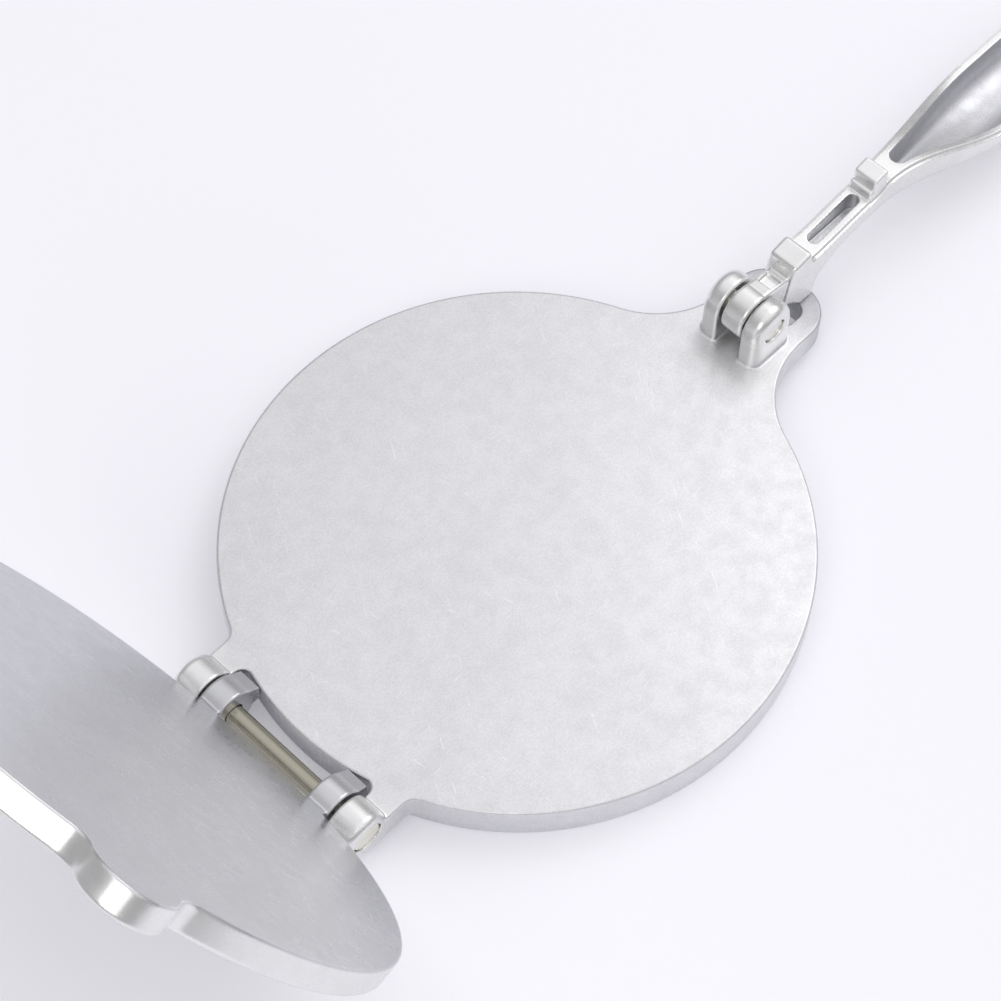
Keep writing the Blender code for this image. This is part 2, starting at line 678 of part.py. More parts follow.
def loft(name, sections):
    """A closed solid through sections of (x, points in y and z), given from the pin outwards."""
    work = bmesh.new()
    rings = [[work.verts.new((PIVOT_X + x, y, PIVOT_Z + z)) for y, z in points]
             for x, points in sections]
    count = len(rings[0])
    for ring, following in zip(rings, rings[1:]):
        for index in range(count):
            after = (index + 1) % count
            work.faces.new((ring[index], ring[after], following[after], following[index]))
    work.faces.new(rings[0][::-1])
    work.faces.new(rings[-1])
    bmesh.ops.recalc_face_normals(work, faces=work.faces)
    mesh = bpy.data.meshes.new(name)
    work.to_mesh(mesh)
    work.free()
    return placed(name, mesh)


def shell_sections():
    """The lever's outer shell, up to the ledge beside its rim."""
    sections = []
    for x in stations(TROUGH_START, LEVER_LENGTH):
        top = rim_top(x) - LEDGE_DROP
        half = half_width(x, LEVER_LENGTH) + LEDGE_WIDTH * end_share(x, LEVER_LENGTH)
        sections.append((x, bowl(x, half, top, top - underside(x))))
    return sections


def rim_sections():
    """The raised rim on the shell, a little narrower and shorter than it."""
    sections = []
    for x in stations(RIM_START, LEVER_LENGTH - LEDGE_WIDTH):
        half = half_width(x, LEVER_LENGTH - LEDGE_WIDTH)
        top = rim_top(x)
        low = top - LEDGE_DROP - FIT_GAP
        sections.append((x, [(-half, top), (-half, low), (half, low), (half, top)]))
    return sections


def dish_sections():
    """The hollow of the handle, with a nose at its start and its own round end."""
    end = LEVER_LENGTH - LEDGE_WIDTH - DISH_STRIP
    nose = [DISH_START + DISH_NOSE * (1 - math.cos(turn))
            for turn in spread(0, QUARTER_TURN, ARC_STEPS // 2)[1:-1]]
    sections = []
    for x in nose + stations(DISH_START + DISH_NOSE, end):
        share = min((x - DISH_START) / DISH_NOSE, 1)
        nose_share = math.sqrt(1 - (1 - share) ** 2)
        half = (half_width(x, end) - DISH_STRIP * end_share(x, end)) * nose_share
        top = rim_top(x)
        depth = top - underside(x) - DISH_FLOOR
        points = [(-half, top + OVERRUN)] + bowl(x, half, top, depth) + [(half, top + OVERRUN)]
        sections.append((x, points))
    return sections


def at_pivot(points):
    """Points in x and z, measured from the lever's pin, as places."""
    return [(PIVOT_X + x, PIVOT_Z + z) for x, z in points]


def build_lever(material):
    """The lever as it lies thrown open, with its heel on the end of the base's tongue."""
    knuckle_half = EAR_START - LEVER_SIDE_GAP
    lever = barrel("lever", LEVER_KNUCKLE_RADIUS, -knuckle_half, knuckle_half, KNUCKLE_EDGE,
                   KNUCKLE_EDGE, PIVOT_X, PIVOT_Z)
    first = block_start()
    first_end = first + BLOCK_LENGTH
    first_back = first_end + BLOCK_BACK_SLOPE
    top = neck_top()
    crest = math.sqrt(LEVER_KNUCKLE_RADIUS ** 2 - NECK_START ** 2) - FIT_GAP / 2
    neck = [(NECK_START, -NECK_UNDERSIDE), (first, -NECK_UNDERSIDE), (first, top),
            (NECK_LENGTH, top), (NECK_START, crest)]
    heel_z = FIT_GAP - PIVOT_RISE
    heel_end = TONGUE_BEYOND_PIVOT - HEEL_INSET
    body = [(NECK_UNDERSIDE_LENGTH, -NECK_UNDERSIDE), (heel_end - HEEL_LENGTH, heel_z),
            (heel_end, heel_z), (TONGUE_BEYOND_PIVOT, underside(TONGUE_BEYOND_PIVOT)),
            (TONGUE_BEYOND_PIVOT, rim_top(first_back) - LEDGE_DROP - FIT_GAP),
            (first_back, rim_top(first_back) - LEDGE_DROP - FIT_GAP),
            (first_end, press_line(first_end)), (first, press_line(first)), (NECK_LENGTH, top)]
    second_end = SECOND_BLOCK_START + SECOND_BLOCK_LENGTH
    root_z = TROUGH_UNDERSIDE + SECOND_BLOCK_STEP
    step_top = rim_top(SECOND_BLOCK_START) + SECOND_BLOCK_STEP_RISE
    second = [(SECOND_BLOCK_START - SECOND_BLOCK_STEP, root_z),
              (SECOND_BLOCK_START - SECOND_BLOCK_STEP, step_top), (SECOND_BLOCK_START, step_top),
              (SECOND_BLOCK_START, press_line(SECOND_BLOCK_START)),
              (second_end, press_line(second_end)), (second_end + BLOCK_BACK_SLOPE, root_z)]
    neck_half = knuckle_half - WEB_INSET
    parts = [side_outline("lever_neck", at_pivot(neck), -neck_half, neck_half),
             side_outline("lever_body", at_pivot(body), -LEVER_HALF_WIDTH, LEVER_HALF_WIDTH),
             side_outline("second_block", at_pivot(second), -SECOND_BLOCK_HALF_WIDTH,
                          SECOND_BLOCK_HALF_WIDTH)]
    for part in parts[1:]:
        soften(part, BLOCK_EDGE, lambda point: True)
    parts.append(loft("lever_shell", shell_sections()))
    parts.append(loft("lever_rim", rim_sections()))
    lever = combine(lever, parts, "UNION")

    overall = LEVER_HALF_WIDTH + OVERRUN
    slot_x = (PIVOT_X + SLOT_START + SLOT_HALF_WIDTH, PIVOT_X + SLOT_END - SLOT_HALF_WIDTH)
    near = arc((slot_x[0], 0), SLOT_HALF_WIDTH, QUARTER_TURN + HALF_TURN, QUARTER_TURN)
    far = arc((slot_x[1], 0), SLOT_HALF_WIDTH, QUARTER_TURN, -QUARTER_TURN)
    slot_floor = PIVOT_Z + TROUGH_TOP - SLOT_DEPTH
    panel = [(NECK_PANEL_START, top - NECK_PANEL_DEPTH),
             (NECK_PANEL_START, crest + OVERRUN),
             (NECK_PANEL_START + NECK_PANEL_LENGTH, crest + OVERRUN),
             (NECK_PANEL_START + NECK_PANEL_LENGTH, top - NECK_PANEL_DEPTH)]
    cuts = [bore("lever_pin_hole", PIN_RADIUS + FIT_GAP, -overall, overall, PIVOT_X, PIVOT_Z),
            flat_outline("lever_slot", near + far, slot_floor, PIVOT_Z + CREST_TOP),
            side_outline("neck_panel", at_pivot(panel), -NECK_PANEL_HALF_WIDTH,
                         NECK_PANEL_HALF_WIDTH),
            loft("lever_dish", dish_sections())]
    lever = combine(lever, cuts, "DIFFERENCE")
    publish(lever, material, (PIVOT_X, 0, PIVOT_Z))


clear_scene()
build_base(finish("cast_face", *CAST_FACE))
build_top(finish("cast_top", *CAST_TOP))
build_lever(finish("cast_polished", *CAST_POLISHED))
build_hinge_rod(finish("rod_steel", *PLATED_STEEL))
build_lever_pin(finish("pin_steel", *PLATED_STEEL))
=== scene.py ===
"""A tortilla press of cast aluminium, open on a pale table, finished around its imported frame.

Each casting is modelled anew and finer than the frame's solid: its shapes are built one by one,
drilled, grown together with small fillets as in a mould, and tumbled smooth. Sizes are in metres,
+Z is up, +X runs from the hinge to the lever's pin, and the origin is where the middle of the base
plate stands on the table.
"""
import logging
import math
from collections.abc import Callable
from dataclasses import dataclass
from enum import Enum

import bmesh
import bpy
from mathutils import Matrix, Vector


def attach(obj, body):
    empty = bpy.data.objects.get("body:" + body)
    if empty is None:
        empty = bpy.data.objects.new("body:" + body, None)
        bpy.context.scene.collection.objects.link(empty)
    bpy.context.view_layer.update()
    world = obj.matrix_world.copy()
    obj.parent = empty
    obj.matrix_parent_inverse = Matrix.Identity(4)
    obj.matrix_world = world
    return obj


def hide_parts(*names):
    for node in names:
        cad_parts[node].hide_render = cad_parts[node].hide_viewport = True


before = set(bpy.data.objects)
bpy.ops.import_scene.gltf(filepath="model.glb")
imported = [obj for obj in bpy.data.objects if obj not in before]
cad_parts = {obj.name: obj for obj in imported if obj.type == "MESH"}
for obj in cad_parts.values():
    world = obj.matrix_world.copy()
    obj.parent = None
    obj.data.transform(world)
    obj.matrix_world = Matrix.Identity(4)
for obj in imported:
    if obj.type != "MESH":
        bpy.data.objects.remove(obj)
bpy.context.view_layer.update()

logging.basicConfig(level=logging.INFO, format="%(message)s")
LOG = logging.getLogger("tortilla_press")

Point = tuple[float, float]
Outline = list[Point]
Colour = tuple[float, float, float, float]
Shape = bpy.types.Object
Wanted = Callable[[Vector], bool]

# Parts of a full turn
QUARTER = math.pi / 2
HALF = math.pi

# How far a shape keeps clear of its neighbour, lies back from a face it shares, and runs past a cut
TOUCH = 0.0003
SLIT = 0.0002
OVERRUN = 0.0020

# What counts as one point, as a flat face and as a sharp edge
SAME = 0.0000002
FLAT = math.radians(0.1)
SHARP = math.radians(40)

# How many steps a whole rim has
RIM_STEPS = 384


class Side(Enum):
    """The two sides of the press, seen from its hinge."""

    LEFT = 1
    RIGHT = -1


class Way(Enum):
    """How the meshes of a casting are joined or cut."""

    JOIN = "UNION"
    CUT = "DIFFERENCE"


def spread(start: float, end: float, steps: int) -> list[float]:
    """Give evenly spaced values.

    Args:
        start: The first value.
        end: The last value.
        steps: How many steps lie between them.

    Returns:
        The values, with both ends.
    """
    return [start + (end - start) * step / steps for step in range(steps + 1)]


def arc(centre: Point, radius: float, start: float, end: float, steps: int = 16) -> Outline:
    """Give points on an arc.

    Args:
        centre: The middle of the arc.
        radius: The arc's radius.
        start: The angle of its first point.
        end: The angle of its last point.
        steps: How many steps lie between them.

    Returns:
        The points, with both ends.
    """
    return [(centre[0] + radius * math.cos(angle), centre[1] + radius * math.sin(angle))
            for angle in spread(start, end, steps)]


def mirrored(half: Outline) -> Outline:
    """Give an outline that goes on from its half, mirrored across the x axis."""
    return half + [(x, -y) for x, y in reversed(half)]


def ease(value: float, start: float, end: float) -> float:
    """Give a share that rises smoothly from 0 before start to 1 after end."""
    share = min(max((value - start) / (end - start), 0), 1)
    return share * share * (3 - 2 * share)


def mixed(first: float, second: float, share: float) -> float:
    """Give the value that lies the given share of the way from the first to the second."""
    return first + (second - first) * share


class Bench:
    """The hand tools that shape, drill and join meshes."""

    @staticmethod
    def pick(item: Shape) -> None:
        """Select one object alone and make it the active one.

        Args:
            item: The object.
        """
        bpy.ops.object.select_all(action="DESELECT")
        item.select_set(True)
        bpy.context.view_layer.objects.active = item

    @staticmethod
    def settle(item: Shape, name: str) -> Shape:
        """Name an object and put its place and turn into its mesh.

        Args:
            item: The object.
            name: Its new name.

        Returns:
            The same object, at the origin and unturned.
        """
        item.name = name
        item.data.name = name
        Bench.pick(item)
        bpy.ops.object.transform_apply(location=True, rotation=True, scale=True)
        return item

    @staticmethod
    def weld(item: Shape) -> Shape:
        """Merge the doubled points of a mesh and turn its faces outwards.

        Args:
            item: The object.

        Returns:
            The same object.
        """
        Bench.pick(item)
        bpy.ops.object.mode_set(mode="EDIT")
        bpy.ops.mesh.select_all(action="SELECT")
        bpy.ops.mesh.remove_doubles(threshold=SAME)
        bpy.ops.mesh.normals_make_consistent(inside=False)
        bpy.ops.object.mode_set(mode="OBJECT")
        return item

    @staticmethod
    def drum(name: str, radius: float, low: float, high: float, sides: int = 192) -> Shape:
        """Add an upright cylinder on the origin's axis, from one height to the other.

        Args:
            name: The cylinder's name.
            radius: Its radius.
            low: The height of its foot.
            high: The height of its top.
            sides: How many sides it has.

        Returns:
            The cylinder.
        """
        bpy.ops.object.select_all(action="DESELECT")
        bpy.ops.mesh.primitive_cylinder_add(vertices=sides, radius=radius, depth=high - low,
                                            location=(0, 0, (low + high) / 2))
        return Bench.settle(bpy.context.object, name)

    @staticmethod
    def barrel(name: str, radius: float, ends: Point, axis: Point, sides: int = 96) -> Shape:
        """Add a cylinder that lies along y.

        Args:
            name: The cylinder's name.
            radius: Its radius.
            ends: Where it starts and ends along y.
            axis: The x and z of its axis.
            sides: How many sides it has.

        Returns:
            The cylinder.
        """
        middle = (ends[0] + ends[1]) / 2
        bpy.ops.object.select_all(action="DESELECT")
        bpy.ops.mesh.primitive_cylinder_add(vertices=sides, radius=radius,
                                            depth=abs(ends[1] - ends[0]),
                                            location=(axis[0], middle, axis[1]),
                                            rotation=(QUARTER, 0, 0))
        return Bench.settle(bpy.context.object, name)

    @staticmethod
    def plate(name: str, outline: Outline, low: float, high: float, upright: bool = False) -> Shape:
        """Cut a thick plate along an outline.

        Args:
            name: The plate's name.
            outline: Its outline in x and y, or in x and z where it stands upright.
            low: The lower side of the plate, or its right side where it stands upright.
            high: The other side.
            upright: Whether the plate stands upright, along y.

        Returns:
            The plate.
        """
        curve = bpy.data.curves.new(name, "CURVE")
        curve.dimensions = "2D"
        curve.fill_mode = "BOTH"
        curve.extrude = (high - low) / 2
        spline = curve.splines.new("POLY")
        spline.points.add(len(outline) - 1)
        for point, (x, y) in zip(spline.points, outline):
            point.co = (x, y, 0, 1)
        spline.use_cyclic_u = True
        item = bpy.data.objects.new(name, curve)
        bpy.context.scene.collection.objects.link(item)
        middle = (low + high) / 2
        item.location = (0, middle, 0) if upright else (0, 0, middle)
        item.rotation_euler = (QUARTER, 0, 0) if upright else (0, 0, 0)
        Bench.pick(item)
        bpy.ops.object.convert(target="MESH")
        item = Bench.weld(Bench.settle(bpy.context.object, name))
        bpy.ops.object.mode_set(mode="EDIT")
        bpy.ops.mesh.select_all(action="SELECT")
        bpy.ops.mesh.dissolve_limited(angle_limit=FLAT)
        bpy.ops.object.mode_set(mode="OBJECT")
        return item

    @staticmethod
    def turned(name: str, profile: Outline, sides: int = 192) -> Shape:
        """Spin a closed profile of (radius, height) round the origin's axis.

        Args:
            name: The piece's name.
            profile: The corners of the profile.
            sides: How many steps the turn has.

        Returns:
            The turned piece.
        """
        bpy.ops.object.select_all(action="DESELECT")
        bpy.ops.mesh.primitive_circle_add(vertices=len(profile), fill_type="NGON")
        item = bpy.context.object
        for vertex, (radius, height) in zip(item.data.vertices, profile):
            vertex.co = (radius, 0, height)
        Bench.pick(item)
        bpy.ops.object.mode_set(mode="EDIT")
        bpy.ops.mesh.select_all(action="SELECT")
        bpy.ops.mesh.delete(type="ONLY_FACE")
        bpy.ops.mesh.select_all(action="SELECT")
        bpy.ops.mesh.spin(steps=sides, angle=HALF + HALF, center=(0, 0, 0), axis=(0, 0, 1))
        bpy.ops.object.mode_set(mode="OBJECT")
        return Bench.weld(Bench.settle(item, name))

    @staticmethod
    def loft(name: str, sections: list[list[Vector]]) -> Shape:
        """Lay a grid over cross-sections, close it round them and fill its two ends.

        Args:
            name: The piece's name.
            sections: The points of each section, as many in each.

        Returns:
            The closed piece.
        """
        rows = len(sections)
        columns = len(sections[0])
        bpy.ops.object.select_all(action="DESELECT")
        bpy.ops.mesh.primitive_grid_add(x_subdivisions=columns, y_subdivisions=rows - 1, size=2)
        item = bpy.context.object
        for vertex in item.data.vertices:
            column = round((vertex.co.x + 1) / 2 * columns) % columns
            row = round((vertex.co.y + 1) / 2 * (rows - 1))
            vertex.co = sections[row][column]
        Bench.weld(item)
        bpy.ops.object.mode_set(mode="EDIT")
        bpy.ops.mesh.select_all(action="DESELECT")
        bpy.ops.mesh.select_mode(type="EDGE")
        bpy.ops.mesh.select_non_manifold()
        bpy.ops.mesh.fill_holes(sides=0)
        bpy.ops.object.mode_set(mode="OBJECT")
        return Bench.weld(Bench.settle(item, name))

    @staticmethod
    def soften(item: Shape, width: float, wanted: Wanted, segments: int = 4) -> Shape:
        """Round the sharp edges of a mesh that are wanted.

        Args:
            item: The object.
            width: How wide the rounding is.
            wanted: Says of a place whether edges that end there are wanted.
            segments: How many faces the rounding has.

        Returns:
            The same object.
        """
        Bench.pick(item)
        bpy.ops.object.mode_set(mode="EDIT")
        bpy.ops.mesh.select_mode(type="EDGE")
        bpy.ops.mesh.select_all(action="DESELECT")
        work = bmesh.from_edit_mesh(item.data)
        for edge in work.edges:
            if edge.calc_face_angle(0) > SHARP:
                edge.select_set(all(wanted(end.co) for end in edge.verts))
        bmesh.update_edit_mesh(item.data)
        bpy.ops.mesh.bevel(offset=width, segments=segments, affect="EDGES", clamp_overlap=True)
        bpy.ops.object.mode_set(mode="OBJECT")
        return item

    @staticmethod
    def turn(item: Shape, angle: float, centre: tuple[float, float, float], axis: str) -> Shape:
        """Turn an object's mesh about a line along one of the axes.

        Args:
            item: The object.
            angle: The angle.
            centre: A place on the line.
            axis: X, Y or Z.

        Returns:
            The same object.
        """
        place = Matrix.Translation(centre)
        item.data.transform(place @ Matrix.Rotation(angle, 4, axis) @ place.inverted())
        return item

    @staticmethod
    def finish_with(item: Shape, kind: str, **settings: object) -> Shape:
        """Put a modifier on an object and apply it.

        Args:
            item: The object.
            kind: The modifier's kind.
            settings: Its settings.

        Returns:
            The same object.
        """
        modifier = item.modifiers.new(kind.lower(), kind)
        for key, value in settings.items():
            setattr(modifier, key, value)
        Bench.pick(item)
        bpy.ops.object.modifier_apply(modifier=modifier.name)
        return item

    @staticmethod
    def carve(items: list[Shape], cutters: list[Shape]) -> None:
        """Cut every cutter out of every item, and remove the cutters.

        Args:
            items: The objects that are cut.
            cutters: The closed shapes to cut away.
        """
        for item in items:
            for cutter in cutters:
                Bench.finish_with(item, "BOOLEAN", operation=Way.CUT.value, solver="EXACT",
                                  object=cutter)
        for cutter in cutters:
            bpy.data.objects.remove(cutter, do_unlink=True)

    @staticmethod
    def cast(name: str, shapes: list[Shape], grain: float, rounds: int, faces: int) -> Shape:
        """Grow overlapping shapes together, melt their edges a little and thin the mesh out.

        Args:
            name: The casting's name.
            shapes: The closed shapes that it is made of.
            grain: How fine the mesh is while it is grown together.
            rounds: How often it is smoothed.
            faces: About how many triangles it keeps.

        Returns:
            The casting.
        """
        Bench.pick(shapes[0])
        for shape in shapes[1:]:
            shape.select_set(True)
        bpy.ops.object.join()
        item = bpy.context.object
        item.name = name
        item.data.name = name
        coarseness = 1
        Bench.finish_with(item, "REMESH", mode="VOXEL", voxel_size=grain * coarseness)
        Bench.finish_with(item, "SMOOTH", factor=0.5, iterations=rounds)
        Bench.finish_with(item, "TRIANGULATE")
        Bench.finish_with(item, "DECIMATE", ratio=min(faces / len(item.data.polygons), 1))
        item.data.shade_smooth()
        Bench.finish_with(item, "WEIGHTED_NORMAL", weight=60, keep_sharp=False)
        return item

    @staticmethod
    def mark(item: Shape, name: str, share: Callable[[Vector], float]) -> None:
        """Write a share between 0 and 1 to every point of a mesh, for its material.

        Args:
            item: The object.
            name: The name of the mark.
            share: Gives the share at a place.
        """
        layer = item.data.attributes.new(name, "FLOAT", "POINT")
        layer.data.foreach_set("value", [share(vertex.co) for vertex in item.data.vertices])

    @staticmethod
    def dress(item: Shape, material: bpy.types.Material, body: str, node: str, slot: str) -> None:
        """Give a finished piece its material, and put it in the place of its frame node.

        Args:
            item: The piece.
            material: Its material.
            body: The body that it moves with.
            node: The frame node that it stands for.
            slot: The record's material slot; not used.
        """
        item.data.materials.clear()
        item.data.materials.append(material)
        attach(item, body)
        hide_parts(node)
        LOG.info("%s: %d faces", item.name, len(item.data.polygons))


class NodeSheet:
    """A material's nodes, laid out in a few words each."""

    def __init__(self, name: str) -> None:
        """Start a material with its shader and the piece's own coordinates.

        Args:
            name: The material's name.
        """
        self.material = bpy.data.materials.new(name)
        self.material.use_nodes = True
        self.tree = self.material.node_tree
        self.shader = self.tree.nodes["Principled BSDF"]
        self.place = self.add("ShaderNodeTexCoord").outputs["Object"]

    def add(self, kind: str, **settings: object) -> bpy.types.Node:
        """Add a node with its settings.

        Args:
            kind: The node's kind.
            settings: Its settings.

        Returns:
            The node.
        """
        node = self.tree.nodes.new(kind)
        for key, value in settings.items():
            setattr(node, key, value)
        return node

    def feed(self, socket: bpy.types.NodeSocket, value: object) -> None:
        """Link a socket to another, or set it to a value.

        Args:
            socket: The socket.
            value: The other socket, or the value.
        """
        if isinstance(value, bpy.types.NodeSocket):
            self.tree.links.new(value, socket)
        else:
            socket.default_value = value

    def stretched(self, length: float, way: float = 0.0) -> bpy.types.NodeSocket:
        """Give the piece's coordinates, drawn out along one way.

        Args:
            length: How many times longer a pattern becomes.
            way: The turn of that way from the y axis, round z.

        Returns:
            The coordinates.
        """
        node = self.add("ShaderNodeMapping", vector_type="TEXTURE")
        self.feed(node.inputs["Vector"], self.place)
        node.inputs["Scale"].default_value = (1.0, length, 1.0)
        node.inputs["Rotation"].default_value = (0.0, 0.0, way)
        return node.outputs["Vector"]

    def noise(self, scale: float, detail: float = 2.0, roughness: float = 0.5,
              distortion: float = 0.0, place: bpy.types.NodeSocket | None = None
              ) -> bpy.types.NodeSocket:
        """Give a cloudy value around a half.

        Args:
            scale: How many clouds there are in a metre.
            detail: How many finer layers it has.
            roughness: How strong the finer layers are.
            distortion: How far it is pulled out of shape.
            place: The coordinates, where they aren't the piece's own.

        Returns:
            The value.
        """
        node = self.add("ShaderNodeTexNoise")
        self.feed(node.inputs["Vector"], place or self.place)
        node.inputs["Scale"].default_value = scale
        node.inputs["Detail"].default_value = detail
        node.inputs["Roughness"].default_value = roughness
        node.inputs["Distortion"].default_value = distortion
        return node.outputs["Fac"]

    def band(self, value: bpy.types.NodeSocket, low: float, high: float, start: float = 0.0,
             end: float = 1.0) -> bpy.types.NodeSocket:
        """Map the range from low to high smoothly onto the range from start to end.

        Args:
            value: The value.
            low: Where the range starts.
            high: Where it ends.
            start: What its start becomes.
            end: What its end becomes.

        Returns:
            The new value.
        """
        node = self.add("ShaderNodeMapRange", interpolation_type="SMOOTHSTEP")
        self.feed(node.inputs["Value"], value)
        node.inputs["From Min"].default_value = low
        node.inputs["From Max"].default_value = high
        node.inputs["To Min"].default_value = start
        node.inputs["To Max"].default_value = end
        return node.outputs["Result"]

    def combined(self, operation: str, first: object, second: object = 0.0
                 ) -> bpy.types.NodeSocket:
        """Join two values by a sum, a product or another operation.

        Args:
            operation: The operation.
            first: The first value.
            second: The second value.

        Returns:
            The result.
        """
        node = self.add("ShaderNodeMath", operation=operation)
        self.feed(node.inputs[0], first)
        self.feed(node.inputs[1], second)
        return node.outputs[0]

    def colour(self, share: object, first: object, second: object,
               way: str = "MIX") -> bpy.types.NodeSocket:
        """Mix two colours by a share.

        Args:
            share: The share of the second colour.
            first: The first colour.
            second: The second colour.
            way: How they are mixed.

        Returns:
            The colour.
        """
        node = self.add("ShaderNodeMix", data_type="RGBA", blend_type=way)
        self.feed(node.inputs["Factor"], share)
        self.feed(node.inputs["A"], first)
        self.feed(node.inputs["B"], second)
        return node.outputs["Result"]

    def marked(self, name: str) -> bpy.types.NodeSocket:
        """Give the share that the piece's points are marked with."""
        return self.add("ShaderNodeAttribute", attribute_name=name).outputs["Fac"]

    def scratches(self, scale: float, length: float, way: float) -> bpy.types.NodeSocket:
        """Give thin, short and nearly straight scratches that run one way.

        Args:
            scale: How many could lie side by side in a metre.
            length: How many times longer than wide they are.
            way: The turn of their way from the y axis.

        Returns:
            One on the scratches and nought between them.
        """
        place = self.stretched(length, way)
        line = self.noise(scale, 0.0, 0.5, 0.3, place)
        patches = self.noise(scale / length, 1.0, 0.5, 0.0, place)
        return self.combined("MULTIPLY", self.band(line, 0.755, 0.82),
                             self.band(patches, 0.50, 0.62))

    def bump(self, layers: list[tuple[bpy.types.NodeSocket, float, float]]) -> None:
        """Raise the surface by layers of (value, strength, depth), one on the other.

        Args:
            layers: The layers.
        """
        below = None
        for value, strength, depth in layers:
            node = self.add("ShaderNodeBump")
            self.feed(node.inputs["Height"], value)
            node.inputs["Strength"].default_value = strength
            node.inputs["Distance"].default_value = depth
            if below:
                self.feed(node.inputs["Normal"], below)
            below = node.outputs["Normal"]
        self.feed(self.shader.inputs["Normal"], below)


@dataclass(frozen=True)
class Skin:
    """How one kind of surface of a casting looks: its colours, gloss, flecks and fine bumps."""

    bright: Colour
    dull: Colour
    roughness: float
    speckle: float
    grain: float


@dataclass(frozen=True)
class CastAluminium:
    """Cast aluminium: a ground face, polished edges and rough unpolished recesses, darkened further
    as painted shade.
    """

    name: str
    ground: Skin
    polished: Skin
    # Unpolished recesses: the colour of the bare casting, darkened further as painted shade
    raw_and_shaded: Skin
    scratch: float
    relief: float
    cloud_scale: float = 28.0
    patch_scale: float = 170.0
    fleck_scale: float = 1300.0
    swell_scale: float = 90.0
    swell_share: float = 0.25
    fleck_share: float = 6.0
    scuffed: Colour = (0.97, 0.97, 0.98, 1.0)
    scuffs: tuple[tuple[float, float, float], ...] = (
        (1300.0, 9.0, 0.2), (1700.0, 14.0, 0.9), (1500.0, 11.0, 1.7), (1900.0, 18.0, 2.6))

    def shared(self, sheet: NodeSheet, quality: str) -> bpy.types.NodeSocket:
        """Give a value that goes from the ground face over polished parts to unpolished parts
        darkened as painted shade.

        Args:
            sheet: The material's nodes.
            quality: Which value of a skin it is.

        Returns:
            The value.
        """
        value = getattr(self.ground, quality)
        for mark, skin in (("polished", self.polished), ("raw_and_shaded", self.raw_and_shaded)):
            mix = sheet.add("ShaderNodeMix", data_type="FLOAT")
            sheet.feed(mix.inputs["Factor"], sheet.marked(mark))
            sheet.feed(mix.inputs["A"], value)
            mix.inputs["B"].default_value = getattr(skin, quality)
            value = mix.outputs[0]
        return value

    def material(self) -> bpy.types.Material:
        """Build the material.

        Returns:
            The material, with its colour, roughness and bump from the piece's coordinates.
        """
        sheet = NodeSheet(self.name)
        cloud = sheet.band(sheet.noise(self.cloud_scale, 4.0, 0.6, 0.4), 0.36, 0.64)
        patch = sheet.noise(self.patch_scale, 3.0, 0.6)
        fleck = sheet.noise(self.fleck_scale, 2.0, 0.75)
        lines = sheet.scratches(*self.scuffs[0])
        for scuff in self.scuffs[1:]:
            lines = sheet.combined("MAXIMUM", lines, sheet.scratches(*scuff))
        base = sheet.colour(cloud, self.ground.dull, self.ground.bright)
        # The third mark darkens recesses: partly unpolished casting, partly painted shade
        for mark, skin in (("polished", self.polished), ("raw_and_shaded", self.raw_and_shaded)):
            other = sheet.colour(cloud, skin.dull, skin.bright)
            base = sheet.colour(sheet.marked(mark), base, other)
        depth = self.shared(sheet, "speckle")
        mottle = sheet.combined("ADD", sheet.band(fleck, 0.28, 0.72),
                                sheet.band(patch, 0.3, 0.7, 0.0, 0.3))
        shade = sheet.combined("SUBTRACT", 1.0, sheet.combined("MULTIPLY", mottle, depth))
        base = sheet.colour(1.0, base, shade, "MULTIPLY")
        base = sheet.colour(sheet.combined("MULTIPLY", lines, self.scratch), base, self.scuffed)
        sheet.feed(sheet.shader.inputs["Base Color"], base)
        level = self.shared(sheet, "roughness")
        sheet.feed(sheet.shader.inputs["Roughness"],
                   sheet.combined("ADD", level, sheet.band(patch, 0.3, 0.7, -0.04, 0.04)))
        sheet.shader.inputs["Metallic"].default_value = 1.0
        swell = sheet.noise(self.swell_scale, 3.0, 0.5)
        grit = sheet.combined("MULTIPLY", fleck, self.shared(sheet, "grain"))
        sheet.bump([(swell, self.relief * self.swell_share, 0.00015),
                    (grit, self.relief * self.fleck_share, 0.00006),
                    (lines, self.scratch, 0.00003)])
        return sheet.material


@dataclass(frozen=True)
class ZincSteel:
    """Turned steel with a thin yellowish zinc coat, darker in its middle as painted shade."""

    name: str
    bright: Colour
    dull: Colour
    # The middle's colour, darkened as painted shade, and how far out from the middle it reaches
    painted_shade: Colour
    painted_shade_within: float
    line_scale: float = 900.0
    line_length: float = 20.0
    cloud_scale: float = 260.0

    def material(self) -> bpy.types.Material:
        """Build the material.

        Returns:
            The material.
        """
        sheet = NodeSheet(self.name)
        along = sheet.noise(self.line_scale, 3.0, 0.6, 0.0, sheet.stretched(self.line_length))
        cloud = sheet.noise(self.cloud_scale, 3.0, 0.6)
        base = sheet.colour(sheet.band(cloud, 0.35, 0.65), self.dull, self.bright)
        parts = sheet.add("ShaderNodeSeparateXYZ")
        sheet.feed(parts.inputs[0], sheet.place)
        # Painted shade: the middle, between the parts round it, is darker
        within = sheet.band(sheet.combined("ABSOLUTE", parts.outputs["Y"]), self.painted_shade_within,
                            self.painted_shade_within + TOUCH, 1.0, 0.0)
        base = sheet.colour(within, base, self.painted_shade)
        sheet.feed(sheet.shader.inputs["Base Color"], base)
        sheet.feed(sheet.shader.inputs["Roughness"], sheet.band(along, 0.3, 0.7, 0.14, 0.24))
        sheet.shader.inputs["Metallic"].default_value = 1.0
        sheet.bump([(along, 0.06, 0.00004), (cloud, 0.05, 0.00004)])
        return sheet.material


